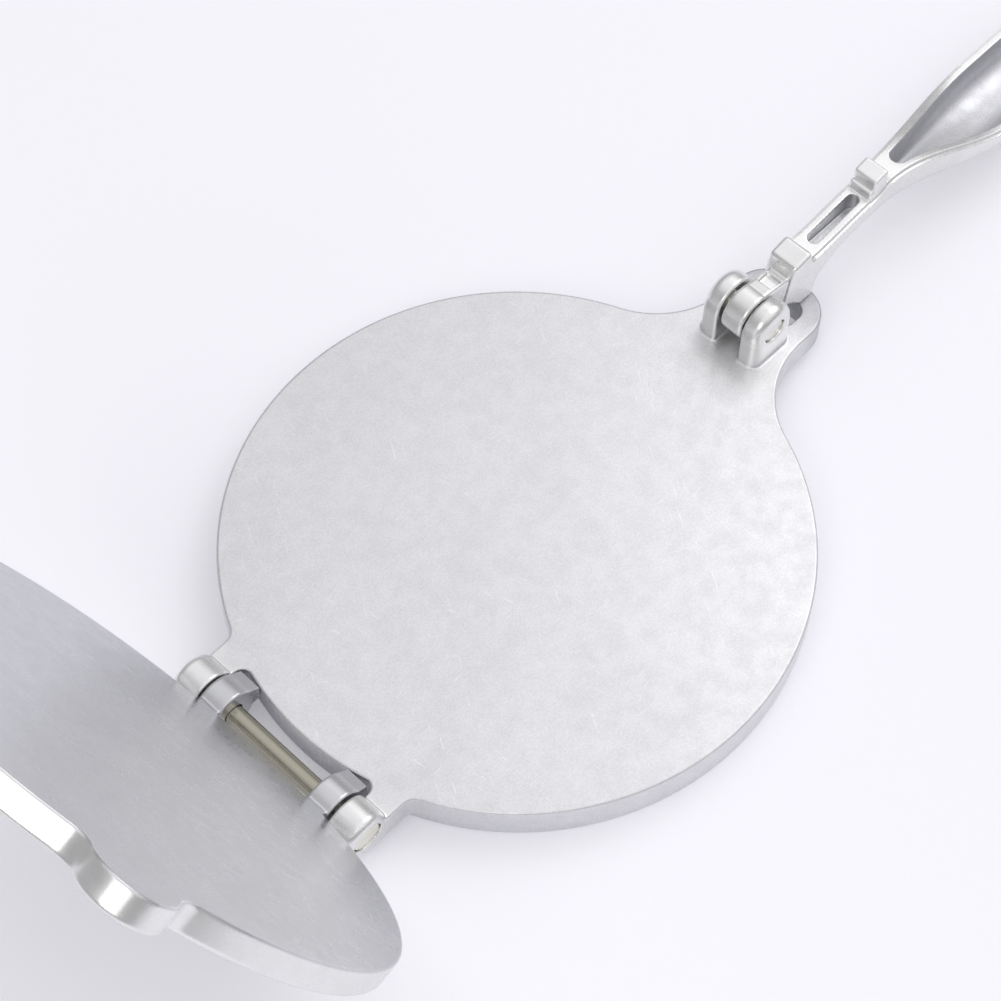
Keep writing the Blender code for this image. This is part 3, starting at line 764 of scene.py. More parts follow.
@dataclass(frozen=True)
class TablePaint:
    """The plain pale surface of the table, a little lifted where it is seen or mirrored."""

    name: str
    colour: Colour
    lift: float
    mirror_share: float = 0.5
    roughness: float = 0.9
    specular: float = 0.1

    def material(self) -> bpy.types.Material:
        """Build the material.

        Returns:
            The material.
        """
        sheet = NodeSheet(self.name)
        sheet.shader.inputs["Base Color"].default_value = self.colour
        sheet.shader.inputs["Roughness"].default_value = self.roughness
        sheet.shader.inputs["Specular IOR Level"].default_value = self.specular
        sheet.shader.inputs["Emission Color"].default_value = self.colour
        path = sheet.add("ShaderNodeLightPath")
        glossy = sheet.combined("MULTIPLY", path.outputs["Is Glossy Ray"], self.mirror_share)
        seen = sheet.combined("MAXIMUM", path.outputs["Is Camera Ray"], glossy)
        sheet.feed(sheet.shader.inputs["Emission Strength"],
                   sheet.combined("MULTIPLY", seen, self.lift))
        return sheet.material


@dataclass
class Layout:
    """The places that the pieces share."""

    radius: float = 0.1000
    height: float = 0.0160
    hinge: Point = (-0.1098, 0.0152)
    pivot: Point = (0.1140, 0.0300)
    press_z: float = 0.0163
    top_web: float = 0.0050
    opening: float = math.radians(117.4)
    rod_radius: float = 0.0035
    pin_radius: float = 0.0046
    inner_knuckle: Point = (0.0200, 0.0293)
    outer_knuckle: Point = (0.0302, 0.0414)
    ear: Point = (0.0054, 0.0130)

    def rim(self, radius: float, start: float, end: float) -> Outline:
        """Give points on a round rim from one angle to the other."""
        steps = max(math.ceil(RIM_STEPS * (end - start) / (2 * HALF)), 2)
        return arc((0, 0), radius, start, end, steps)

    def bar(self, name: str, length: float, width: float, low: float, high: float,
            turn: float) -> Shape:
        """Make a bar right across a plate, which makes two of its ribs.

        Args:
            name: The bar's name.
            length: Half its length.
            width: Its width.
            low: The height of its foot.
            high: The height of its top.
            turn: Its turn from the x axis.

        Returns:
            The bar.
        """
        half = width / 2
        corners = [(-length, -half), (length, -half), (length, half), (-length, half)]
        item = Bench.plate(name, corners, low, high)
        return Bench.turn(item, turn, (0, 0, 0), "Z")

    def ribs(self, name: str, length: float, width: float, low: float, high: float
             ) -> list[Shape]:
        """Make the four bars under or over a plate, which leave the lever's way free.

        Args:
            name: The bars' name.
            length: Half their length.
            width: Their width.
            low: The height of their feet.
            high: The height of their tops.

        Returns:
            The bars.
        """
        turns = [QUARTER / 4 + QUARTER / 2 * index for index in range(4)]
        return [self.bar(name, length, width, low, high, turn) for turn in turns]


def fairing_centre(radius: float, fairing: float, side: float) -> Point:
    """Give the centre of a fairing that touches a plate's rim, at a distance from the x axis."""
    reach = radius + fairing
    return (math.sqrt(reach * reach - side * side), side)


@dataclass
class BasePlate:
    """The round base plate with its foot ring, tongue, ears, rear arms and outer knuckles."""

    layout: Layout

    # The slab, its web and rim, the foot ring and the stiffeners under the web
    depth: float = 0.0110
    web: float = 0.0060
    wall: float = 0.0050
    foot_inset: float = 0.0005
    press_edge: float = 0.0008
    hub: float = 0.0140
    ring: float = 0.0550
    rib: float = 0.0040
    rib_lift: float = 0.0020

    # The tongue with its opening, and the ears on it
    tongue_end: float = 0.1447
    tongue_half: float = 0.0172
    tongue_corner: float = 0.0140
    tongue_fairing: float = 0.0350
    opening_x: Point = (0.1250, 0.1370)
    opening_half: float = 0.0094
    opening_corner: float = 0.0045
    ear_radius: float = 0.0098
    ear_edge: float = 0.0036

    # The rear arms with the outer knuckles, and the window between them
    knuckle: float = 0.0087
    knuckle_edge: float = 0.0026
    arm_fairing: float = 0.0050
    arm_end: float = 0.0030
    arm_corner: float = 0.0028
    window_corner: float = 0.0032
    head_radius: float = 0.0055
    head_sink: float = 0.0035

    # Darker places on the face: a patch beside the hinge and the duller tip of the tongue
    dark_patch: Point = (-0.0846, -0.0345)
    dark_patch_radius: float = 0.0085
    dark_patch_share: float = 0.25
    tip_share: float = 0.75

    # How finely it is cast
    grain: float = 0.0004
    rounds: int = 3
    faces: int = 180000

    def tongue_side(self) -> tuple[Outline, float]:
        """Give one side of the tongue, and the angle at which it meets the rim.

        Returns:
            The corners and the angle.
        """
        fairing = self.tongue_fairing
        centre = fairing_centre(self.layout.radius, fairing, self.tongue_half + fairing)
        turn = math.atan2(centre[1], centre[0])
        middle = (self.tongue_end - self.tongue_corner, self.tongue_half - self.tongue_corner)
        corner = arc(middle, self.tongue_corner, 0, QUARTER, 24)
        return corner + arc(centre, fairing, -QUARTER, turn - HALF, 24)[:-1], turn

    def arm_side(self) -> tuple[Outline, float, float]:
        """Give a rear arm from the rim round its end and back, and its two angles on the rim.

        Returns:
            The corners and the two angles.
        """
        outer = self.layout.outer_knuckle[1] - SLIT
        inner = self.layout.outer_knuckle[0] + SLIT
        radius = self.layout.radius
        distance, side = fairing_centre(radius, self.arm_fairing, outer + self.arm_fairing)
        start = math.atan2(side, -distance)
        outside = arc((-distance, side), self.arm_fairing, start - HALF, -QUARTER)[1:]
        distance, side = fairing_centre(radius, self.window_corner, inner - self.window_corner)
        end = math.atan2(side, -distance)
        inside = arc((-distance, side), self.window_corner, QUARTER, end - HALF)[:-1]
        tip_x = self.layout.hinge[0] - self.arm_end
        middle = (tip_x + self.arm_corner, outer - self.arm_corner)
        tip = arc(middle, self.arm_corner, QUARTER, HALF)
        return outside + tip + [(tip_x, inner)] + inside, start, end

    def outline(self) -> Outline:
        """Give the plan of the disc with its tongue and its two arms.

        Returns:
            The corners.
        """
        tongue, tongue_turn = self.tongue_side()
        arm, arm_start, arm_end = self.arm_side()
        rim = self.layout.rim
        side = rim(self.layout.radius, tongue_turn, arm_start)
        window = rim(self.layout.radius, arm_end, HALF)[:-1]
        return mirrored(tongue + side + arm + window)

    def slab(self) -> list[Shape]:
        """Make the disc, tongue and arms in one slab, hollow underneath, on its foot ring.

        Returns:
            The slab and the foot ring.
        """
        height = self.layout.height
        low = height - self.depth
        slab = Bench.plate("base_slab", self.outline(), low, height)
        Bench.soften(slab, self.press_edge, lambda place: place.z > height - TOUCH)
        foot = Bench.drum("base_foot", self.layout.radius - self.foot_inset, 0, low + OVERRUN)
        Bench.soften(foot, self.press_edge, lambda place: place.z < TOUCH)
        inside = self.layout.radius - self.wall
        pocket = Bench.drum("base_pocket", inside, -OVERRUN, height - self.web)
        Bench.carve([slab, foot], [pocket])
        return [slab, foot]

    def stiffeners(self) -> list[Shape]:
        """Make the hub, the ring and the ribs under the web.

        Returns:
            The shapes.
        """
        top = self.layout.height - self.web + OVERRUN
        half = self.rib / 2
        ring = [(self.ring - half, self.rib_lift), (self.ring + half, self.rib_lift),
                (self.ring + half, top), (self.ring - half, top)]
        reach = self.layout.radius - self.wall + OVERRUN
        return ([Bench.drum("base_hub", self.hub, 0, top, 96), Bench.turned("base_ring", ring)]
                + self.layout.ribs("base_rib", reach, self.rib, self.rib_lift, top))

    def ears(self) -> list[Shape]:
        """Make the two ears that hold the lever's pin.

        Returns:
            The ears.
        """
        x, z = self.layout.pivot
        near, far = self.layout.ear
        foot = self.layout.height - OVERRUN - self.ear_edge
        crown = arc((x, z), self.ear_radius, HALF, 0, 48)
        outline = [(x - self.ear_radius, foot)] + crown + [(x + self.ear_radius, foot)]
        ears = []
        for side in Side:
            low, high = sorted((side.value * near, side.value * far))
            ear = Bench.plate("ear_" + side.name.lower(), outline, low, high, True)
            Bench.soften(ear, self.ear_edge, lambda place: abs(place.y) > far - TOUCH, 6)
            Bench.soften(ear, self.press_edge, lambda place: abs(place.y) < near + TOUCH, 3)
            ears.append(ear)
        return ears

    def knuckles(self) -> list[Shape]:
        """Make the two outer hinge knuckles at the ends of the arms.

        Returns:
            The knuckles.
        """
        near, far = self.layout.outer_knuckle
        shapes = []
        for side in Side:
            ends = (side.value * near, side.value * far)
            shape = Bench.barrel("outer_knuckle", self.knuckle, ends, self.layout.hinge, 128)
            Bench.soften(shape, self.knuckle_edge, lambda place: abs(place.y) > far - TOUCH, 6)
            Bench.soften(shape, self.press_edge, lambda place: abs(place.y) < near + TOUCH, 3)
            shapes.append(shape)
        return shapes

    def rod_bores(self) -> list[Shape]:
        """Make the cutters of the hinge rod's hole and of its two sunk heads.

        Returns:
            The cutters.
        """
        far = self.layout.outer_knuckle[1]
        reach = far + OVERRUN
        hinge = self.layout.hinge
        cutters = [Bench.barrel("rod_bore", self.layout.rod_radius + TOUCH, (-reach, reach), hinge)]
        for side in Side:
            ends = (side.value * (far - self.head_sink), side.value * reach)
            cutters.append(Bench.barrel("head_bore", self.head_radius + TOUCH, ends, hinge))
        return cutters

    def polish(self, place: Vector) -> float:
        """Give how polished the casting is at a place: its ears and knuckles are.

        Args:
            place: A place on the casting.

        Returns:
            The share, from 0 to 1.
        """
        hinge_x, hinge_z = self.layout.hinge
        from_hinge = math.hypot(place.x - hinge_x, place.z - hinge_z)
        knuckle = 1 - ease(from_hinge, self.knuckle, self.knuckle + OVERRUN)
        return max(ease(place.z, self.layout.height + SLIT, self.layout.height + OVERRUN), knuckle)

    def rawness_and_shade(self, place: Vector) -> float:
        """Give the share of the darker unpolished colour at a place: its underside and the window's
        walls, which carry painted shade, a patch beside the hinge and the tongue's end.

        Args:
            place: A place on the casting.

        Returns:
            The share, from 0 to 1.
        """
        from_middle = math.hypot(place.x, place.y)
        # Painted shade: the underside inside the rim and the window's low walls get the darker
        # colour
        inside = 1 - ease(from_middle, self.layout.radius - self.wall,
                          self.layout.radius - self.wall + TOUCH)
        under = inside * (1 - ease(place.z, self.layout.height - self.web,
                                   self.layout.height - self.web + OVERRUN))
        across = 1 - ease(abs(place.y), self.layout.inner_knuckle[1],
                          self.layout.outer_knuckle[0])
        window = across if place.x < 0 and from_middle > self.layout.radius - OVERRUN else 0.0
        low = 1 - ease(place.z, self.layout.height - OVERRUN, self.layout.height - self.press_edge)
        dark_patch = 1 - ease(math.dist(place.xy, self.dark_patch), OVERRUN, self.dark_patch_radius)
        tip = ease(place.x, self.opening_x[0] - OVERRUN, self.opening_x[1])
        return max(under, window * low, dark_patch * self.dark_patch_share, tip * self.tip_share)

    def build(self, material: bpy.types.Material) -> None:
        """Cast the base plate and put it in its place.

        Args:
            material: The casting's material.
        """
        body = self.slab()
        ears = self.ears()
        knuckles = self.knuckles()
        Bench.carve([body[0]] + knuckles, self.rod_bores())
        reach = self.layout.ear[1] + OVERRUN
        pin = Bench.barrel("pin_bore", self.layout.pin_radius + TOUCH, (-reach, reach),
                           self.layout.pivot)
        Bench.carve(ears, [pin])
        near, far = self.opening_x
        inset = self.opening_half - self.opening_corner
        hole = mirrored(arc((near + self.opening_corner, inset), self.opening_corner, HALF, QUARTER)
                        + arc((far - self.opening_corner, inset), self.opening_corner, QUARTER, 0))
        opening = Bench.plate("opening", hole, 0, self.layout.height + OVERRUN)
        Bench.carve([body[0]], [opening])
        shapes = body + self.stiffeners() + ears + knuckles
        casting = Bench.cast("base_plate_casting", shapes, self.grain, self.rounds, self.faces)
        Bench.mark(casting, "polished", self.polish)
        # The third mark carries painted shade in the recesses as well as the unpolished casting
        Bench.mark(casting, "raw_and_shaded", self.rawness_and_shade)
        Bench.dress(casting, material, "base", "base_plate", "cast_face")


@dataclass
class TopPlate:
    """The round top plate with its lifting tabs, back ribs and inner knuckles."""

    layout: Layout

    # The disc, hollow on its back, and the stiffeners there
    radius: float = 0.1010
    rim: float = 0.0090
    wall: float = 0.0038
    press_edge: float = 0.0008
    back_edge: float = 0.0014
    hub: float = 0.0120
    ring: float = 0.0380
    rib: float = 0.0040

    # The inner knuckles with their heels and cheeks
    knuckle: float = 0.0092
    knuckle_edge: float = 0.0006
    stop_rise: float = 0.0005
    stop_depth: float = 0.0045
    cheek_turn: float = math.radians(42.0)
    cheek_rise: float = 0.0020

    # The lifting tabs on the rim
    tab_radius: float = 0.0135
    tab_reach: float = 0.0160
    tab_fairing: float = 0.0080
    tab_turn: float = math.radians(38.5)

    # How finely it is cast
    grain: float = 0.0004
    rounds: int = 3
    faces: int = 180000

    def tab_side(self) -> tuple[Outline, float]:
        """Give half a lifting tab along +X, and the angle at which it meets the rim.

        Returns:
            The corners and the angle.
        """
        lobe_x = self.radius + self.tab_reach - self.tab_radius
        reach = self.radius + self.tab_fairing
        out = self.tab_radius + self.tab_fairing
        turn = math.acos((reach * reach + lobe_x * lobe_x - out * out) / (2 * reach * lobe_x))
        centre = (reach * math.cos(turn), reach * math.sin(turn))
        towards = math.atan2(-centre[1], lobe_x - centre[0])
        lobe = arc((lobe_x, 0), self.tab_radius, 0, towards + HALF, 24)
        return lobe[1:] + arc(centre, self.tab_fairing, towards, turn - HALF, 24)[1:-1], turn

    def outline(self) -> Outline:
        """Give the plan of the disc with a lifting tab on each side of the ears.

        Returns:
            The corners.
        """
        side, turn = self.tab_side()
        tab = [(x, -y) for x, y in reversed(side)] + [(self.radius + self.tab_reach, 0)] + side
        cosine = math.cos(self.tab_turn)
        sine = math.sin(self.tab_turn)
        placed = [(x * cosine - y * sine, x * sine + y * cosine) for x, y in tab]
        front = self.layout.rim(self.radius, 0, self.tab_turn - turn)[1:]
        back = self.layout.rim(self.radius, self.tab_turn + turn, HALF)[:-1]
        return mirrored(front + placed + back)

    def disc(self) -> Shape:
        """Make the disc with its tabs, hollow on its back.

        Returns:
            The disc.
        """
        low = self.layout.press_z
        back = low + self.rim
        disc = Bench.plate("top_disc", self.outline(), low, back)
        Bench.soften(disc, self.press_edge, lambda place: place.z < low + TOUCH)
        Bench.soften(disc, self.back_edge, lambda place: place.z > back - TOUCH)
        pocket = Bench.drum("top_pocket", self.radius - self.wall, low + self.layout.top_web,
                            back + OVERRUN)
        Bench.carve([disc], [pocket])
        return disc

    def stiffeners(self) -> list[Shape]:
        """Make the hub, the ring and the ribs on the back.

        Returns:
            The shapes.
        """
        low = self.layout.press_z + self.layout.top_web - OVERRUN
        back = self.layout.press_z + self.rim
        half = self.rib / 2
        ring = [(self.ring - half, low), (self.ring + half, low), (self.ring + half, back - SLIT),
                (self.ring - half, back - SLIT)]
        reach = self.radius - self.wall + OVERRUN
        return ([Bench.drum("top_hub", self.hub, low, back, 96), Bench.turned("top_ring", ring)]
                + self.layout.ribs("top_rib", reach, self.rib, low, back - SLIT))

    def heel_reach(self) -> float:
        """Give how far a heel reaches from the hinge towards the base's rim."""
        near = self.layout.inner_knuckle[0] + SLIT
        return -math.sqrt(self.layout.radius ** 2 - near * near) - self.layout.hinge[0] - TOUCH

    def stop_outline(self) -> Outline:
        """Give the heel of a knuckle, which meets the base's rim when the press is open.

        Returns:
            The corners.
        """
        reach = self.heel_reach()
        corners = [(0, self.stop_rise), (reach, self.stop_rise), (reach, -self.stop_depth),
                   (0, -self.stop_depth)]
        return self.swung(corners)

    def cheek_outline(self) -> Outline:
        """Give the slope that runs from a knuckle's crown down to the end of its heel.

        Returns:
            The corners.
        """
        reach = self.heel_reach()
        crown = arc((0, 0), self.knuckle - SLIT, self.cheek_turn, QUARTER, 8)
        return self.swung([(0, 0), (reach, 0), (reach, self.cheek_rise)] + crown)

    def swung(self, corners: Outline) -> Outline:
        """Turn corners about the hinge from the open press to the closed one.

        Args:
            corners: Corners in x and z, measured from the hinge with the press open.

        Returns:
            The corners' places with the press closed.
        """
        cosine = math.cos(self.layout.opening)
        sine = math.sin(self.layout.opening)
        x0, z0 = self.layout.hinge
        return [(x0 + x * cosine + z * sine, z0 - x * sine + z * cosine) for x, z in corners]

    def knuckles(self) -> list[Shape]:
        """Make the two inner knuckles, with the lugs that tie them to the rim and their heels.

        Returns:
            The shapes.
        """
        near, far = self.layout.inner_knuckle
        x, z = self.layout.hinge
        middle = self.radius - self.wall / 2
        root_x = -math.sqrt(middle * middle - far * far)
        crest = z + self.knuckle - SLIT
        low = self.layout.press_z
        lug = [(x, low), (root_x, low), (root_x, crest), (x, crest)]
        shapes = []
        for side in Side:
            ends = sorted((side.value * near, side.value * far))
            barrel = Bench.barrel("inner_knuckle", self.knuckle, ends, self.layout.hinge, 128)
            Bench.soften(barrel, self.knuckle_edge, lambda place: True, 3)
            shapes.append(barrel)
            shapes.append(Bench.plate("lug", lug, ends[0] + SLIT, ends[1] - SLIT, True))
            for outline in (self.stop_outline(), self.cheek_outline()):
                shapes.append(Bench.plate("heel", outline, ends[0] + SLIT, ends[1] - SLIT, True))
        reach = far + OVERRUN
        bore = Bench.barrel("rod_bore", self.layout.rod_radius + TOUCH, (-reach, reach),
                            self.layout.hinge)
        Bench.carve(shapes, [bore])
        return shapes

    def polish(self, place: Vector) -> float:
        """Give how polished the closed casting is at a place: all but its press face is."""
        # The press face keeps the darker colour of its material's face, which is painted shade
        low = self.layout.press_z
        return ease(place.z, low + TOUCH, low + self.press_edge)

    def rawness_and_shade(self, place: Vector) -> float:
        """Give how unpolished the closed casting is at a place: the recesses of its back are,
        darkened further as painted shade.

        Args:
            place: A place on the casting.

        Returns:
            The share, from 0 to 1.
        """
        web = self.layout.press_z + self.layout.top_web
        inside = 1 - ease(math.hypot(place.x, place.y), self.radius - self.wall,
                          self.radius - self.wall + TOUCH)
        return inside * ease(place.z, web - OVERRUN, web) * (
            1 - ease(place.z, self.layout.press_z + self.rim - self.press_edge,
                     self.layout.press_z + self.rim - TOUCH))

    def build(self, material: bpy.types.Material) -> None:
        """Cast the top plate closed, and swing it open about the hinge rod.

        Args:
            material: The casting's material.
        """
        shapes = [self.disc()] + self.stiffeners() + self.knuckles()
        casting = Bench.cast("top_plate_casting", shapes, self.grain, self.rounds, self.faces)
        Bench.mark(casting, "polished", self.polish)
        # The third mark carries painted shade in the back's recesses as well as the unpolished
        # casting
        Bench.mark(casting, "raw_and_shaded", self.rawness_and_shade)
        x, z = self.layout.hinge
        Bench.turn(casting, -self.layout.opening, (x, 0, z), "Y")
        Bench.dress(casting, material, "top", "top_plate", "cast_top")


@dataclass
class Lever:
    """The pressing lever: knuckle, neck, two blocks, a trough and a dished handle."""

    layout: Layout

    # The tilt thrown open, the knuckle and the neck with its sunk panel
    tilt: float = math.radians(10.5)
    knuckle: float = 0.0090
    side_gap: float = 0.0008
    half: float = 0.0061
    neck_top: float = 0.0060
    neck_start: float = 0.0028
    neck_end: float = 0.0158
    neck_low: float = 0.0065
    neck_low_end: float = 0.0140
    panel: Point = (0.0078, 0.0134)
    panel_half: float = 0.0032
    panel_depth: float = 0.0014

    # The two pressing blocks, and the heel that rests on the tongue
    first: Point = (0.01713, 0.02573)
    block_back: float = 0.0014
    block_edge: float = 0.0014
    second: Point = (0.0595, 0.0663)
    second_half: float = 0.0050
    second_step: float = 0.0018
    second_step_rise: float = 0.0032
    tongue_end: float = 0.0307
    heel_inset: float = 0.0007
    heel_length: float = 0.0075

    # The trough and the handle, from their rim down to the underside
    length: float = 0.2060
    trough_start: float = 0.0285
    rim_start: float = 0.0250
    trough_top: float = 0.0090
    trough_climb: float = 0.0027
    trough_half: float = 0.0048
    trough_low: float = 0.0017
    crest: Point = (0.0600, 0.0700)
    crest_top: float = 0.0141
    flare: Point = (0.0660, 0.1360)
    fall: Point = (0.0720, 0.1320)
    handle_top: float = 0.0010
    handle_half: float = 0.0154
    handle_low: float = 0.0130
    handle_end: float = 0.0180
    handle_tip: float = 0.0000045
    arch_end: float = 0.0560
    ledge: float = 0.0012
    ledge_drop: float = 0.0016
    # How far the darker colour of the slot and dish, painted shade, fades in from the rim and from
    # the floor
    raw_and_shaded_edge: float = 0.0012
    squareness: Point = (7.0, 2.8)

    # The slot in the trough and the dish in the handle
    slot: Point = (0.0315, 0.0565)
    slot_half: float = 0.0024
    slot_depth: float = 0.0055
    dish_start: float = 0.0755
    dish_nose: float = 0.0030
    dish_strip: float = 0.0024
    dish_floor: float = 0.0030

    # How finely it is lofted and cast
    stations: int = 150
    grain: float = 0.0002
    rounds: int = 8
    faces: int = 170000

    def press_line(self, x: float) -> float:
        """Give how high above the pin a block's top lies."""
        drop = self.layout.pivot[1] - self.layout.press_z - self.layout.top_web - TOUCH
        return (drop + x * math.sin(self.tilt)) / math.cos(self.tilt)

    def rim_top(self, x: float) -> float:
        """Give the height of the rim above the pin, at a distance from it.

        Args:
            x: The distance from the pin.

        Returns:
            The height.
        """
        climb = self.trough_top + self.trough_climb * ease(x, self.trough_start, self.crest[0])
        top = mixed(climb, self.crest_top, ease(x, *self.crest))
        return mixed(top, self.handle_top, ease(x, *self.fall))

    def end_share(self, x: float, end: float) -> float:
        """Give the share of its full width that the handle has near its rounded end."""
        share = min(max((x - end + self.handle_end) / self.handle_end, 0), 1)
        return math.sqrt(1 - share * share)

    def underside(self, x: float) -> float:
        """Give the height of the underside above the pin: an arch, then the handle's belly.

        Args:
            x: The distance from the pin.

        Returns:
            The height.
        """
        heel = TOUCH - (self.layout.pivot[1] - self.layout.height)
        back = self.tongue_end - self.heel_inset
        share = min(max((self.arch_end - x) / (self.arch_end - back), 0), 1)
        arch = mixed(heel, self.trough_low, math.sqrt(1 - share * share))
        low = mixed(arch, -self.handle_low, ease(x, self.crest[0], self.flare[1]))
        return mixed(low, self.rim_top(x) - self.ledge_drop,
                     1 - self.end_share(x, self.length) ** 2)

    def half_width(self, x: float, end: float) -> float:
        """Give half the width of the rim at a distance from the pin."""
        full = mixed(self.trough_half, self.handle_half, ease(x, *self.flare))
        return full * self.end_share(x, end)

    def places(self, start: float, end: float) -> list[float]:
        """Give distances from the pin: even ones, and closer ones round the handle's end.

        Args:
            start: The first distance.
            end: Where the handle ends.

        Returns:
            The distances.
        """
        bend = end - self.handle_end
        turns = spread(0, QUARTER, 24)[1:-1]
        return (spread(start, bend, self.stations)
                + [bend + self.handle_end * math.sin(turn) for turn in turns]
                + [end - self.handle_tip])

    def bowl(self, x: float, half: float, top: float, depth: float) -> Outline:
        """Give a section from one side, under the middle and up to the other.

        Args:
            x: The distance from the pin.
            half: Half the section's width.
            top: The height of its edges.
            depth: How deep its middle lies under them.

        Returns:
            The section's points in y and z.
        """
        power = 2 / mixed(*self.squareness, ease(x, self.arch_end, self.flare[1]))
        points = []
        for turn in spread(0, HALF, 40):
            cosine = math.cos(turn)
            y = -half * math.copysign(abs(cosine) ** power, cosine)
            points.append((y, top - depth * abs(math.sin(turn)) ** power))
        return points

    def place(self, x: float, points: Outline) -> list[Vector]:
        """Put a section's points in y and z at a distance from the pin."""
        return [Vector((self.layout.pivot[0] + x, y, self.layout.pivot[1] + z))
                for y, z in points]

    def shell(self) -> Shape:
        """Loft the outer shell, up to the ledge beside the rim.

        Returns:
            The shell.
        """
        sections = []
        for x in self.places(self.trough_start, self.length):
            top = self.rim_top(x) - self.ledge_drop
            half = self.half_width(x, self.length) + self.ledge * self.end_share(x, self.length)
            sections.append(self.place(x, self.bowl(x, half, top, top - self.underside(x))))
        return Bench.loft("lever_shell", sections)

    def raised_rim(self) -> Shape:
        """Loft the raised rim that stands on the shell.

        Returns:
            The rim.
        """
        sections = []
        for x in self.places(self.rim_start, self.length - self.ledge):
            half = self.half_width(x, self.length - self.ledge)
            top = self.rim_top(x)
            low = top - self.ledge_drop - TOUCH
            sections.append(self.place(x, [(-half, top), (-half, low), (half, low), (half, top)]))
        return Bench.loft("lever_rim", sections)

    def dish(self) -> Shape:
        """Loft the cutter of the handle's hollow.

        Returns:
            The cutter.
        """
        end = self.length - self.ledge - self.dish_strip
        nose = [self.dish_start + self.dish_nose * (1 - math.cos(turn))
                for turn in spread(0, QUARTER, 10)[1:-1]]
        sections = []
        for x in nose + self.places(self.dish_start + self.dish_nose, end):
            share = min((x - self.dish_start) / self.dish_nose, 1)
            nose_share = math.sqrt(1 - (1 - share) ** 2)
            half = (self.half_width(x, end) - self.dish_strip * self.end_share(x, end)) * nose_share
            top = self.rim_top(x)
            depth = top - self.underside(x) - self.dish_floor
            points = self.bowl(x, half, top, depth)
            sections.append(self.place(x, [(-half, top + OVERRUN)] + points
                                       + [(half, top + OVERRUN)]))
        return Bench.loft("lever_dish", sections)

    def side_plate(self, name: str, points: Outline, half: float) -> Shape:
        """Cut an upright plate along an outline in x and z that is measured from the pin."""
        x0, z0 = self.layout.pivot
        return Bench.plate(name, [(x0 + x, z0 + z) for x, z in points], -half, half, True)

    def rawness_and_shade(self, place: Vector) -> float:
        """Give how unpolished the casting is at a place: its slot and its dish are, darkened
        further as painted shade.

        Args:
            place: A place on the casting.

        Returns:
            The share, from 0 to 1.
        """
        x = place.x - self.layout.pivot[0]
        below = 1 - ease(place.z - self.layout.pivot[1], self.rim_top(x) - self.raw_and_shaded_edge,
                         self.rim_top(x) - TOUCH)
        if self.slot[0] - TOUCH < x < self.slot[1] + TOUCH:
            inner = self.slot_half + TOUCH
        elif x > self.dish_start - TOUCH:
            inner = self.half_width(x, self.length - self.ledge) - self.dish_strip + TOUCH
        else:
            return 0.0
        above = ease(place.z - self.layout.pivot[1], self.underside(x) + TOUCH,
                     self.underside(x) + self.raw_and_shaded_edge)
        return below * above * (1 - ease(abs(place.y), inner, inner + TOUCH))

    def build(self, material: bpy.types.Material) -> None:
        """Cast the lever as it lies thrown open.

        Args:
            material: The casting's material.
        """
        pivot = self.layout.pivot
        knuckle_half = self.layout.ear[0] - self.side_gap
        barrel = Bench.barrel("lever_knuckle", self.knuckle, (-knuckle_half, knuckle_half), pivot,
                              128)
        Bench.soften(barrel, self.block_edge, lambda place: True, 4)
        first, first_end = self.first
        back = first_end + self.block_back
        crest = math.sqrt(self.knuckle ** 2 - self.neck_start ** 2) - TOUCH / 2
        neck = self.side_plate("neck", [(self.neck_start, -self.neck_low), (first, -self.neck_low),
                                        (first, self.neck_top), (self.neck_end, self.neck_top),
                                        (self.neck_start, crest)], knuckle_half - SLIT)
        heel_z = TOUCH - (pivot[1] - self.layout.height)
        heel_end = self.tongue_end - self.heel_inset
        ledge_z = self.rim_top(back) - self.ledge_drop - TOUCH
        body = self.side_plate("body", [
            (self.neck_low_end, -self.neck_low), (heel_end - self.heel_length, heel_z),
            (heel_end, heel_z), (self.tongue_end, self.underside(self.tongue_end)),
            (self.tongue_end, ledge_z), (back, ledge_z), (first_end, self.press_line(first_end)),
            (first, self.press_line(first)), (self.neck_end, self.neck_top)], self.half)
        start, end = self.second
        root = self.trough_low + self.second_step
        step_top = self.rim_top(start) + self.second_step_rise
        block = self.side_plate("second_block", [
            (start - self.second_step, root), (start - self.second_step, step_top),
            (start, step_top), (start, self.press_line(start)), (end, self.press_line(end)),
            (end + self.block_back, root)], self.second_half)
        for part in (neck, body, block):
            Bench.soften(part, self.block_edge, lambda place: True, 4)
        shapes = [barrel, neck, body, block, self.shell(), self.raised_rim()]
        reach = self.half + OVERRUN
        bore = Bench.barrel("pin_bore", self.layout.pin_radius + TOUCH, (-reach, reach), pivot)
        Bench.carve(shapes[:3], [bore])
        near = (pivot[0] + self.slot[0] + self.slot_half, 0)
        far = (pivot[0] + self.slot[1] - self.slot_half, 0)
        slot = Bench.plate("slot", arc(near, self.slot_half, 3 * QUARTER, QUARTER)
                           + arc(far, self.slot_half, QUARTER, -QUARTER),
                           pivot[1] + self.trough_top - self.slot_depth, pivot[1] + self.crest_top)
        low = self.neck_top - self.panel_depth
        panel = self.side_plate("panel", [(self.panel[0], low), (self.panel[0], crest + OVERRUN),
                                          (self.panel[1], crest + OVERRUN), (self.panel[1], low)],
                                self.panel_half)
        Bench.carve(shapes[1:], [slot, panel, self.dish()])
        casting = Bench.cast("lever_casting", shapes, self.grain, self.rounds, self.faces)
        Bench.mark(casting, "polished", lambda place: 1.0)
        # The third mark carries painted shade in the slot and dish as well as the unpolished
        # casting
        Bench.mark(casting, "raw_and_shaded", self.rawness_and_shade)
        Bench.dress(casting, material, "lever_arm", "lever", "cast_polished")


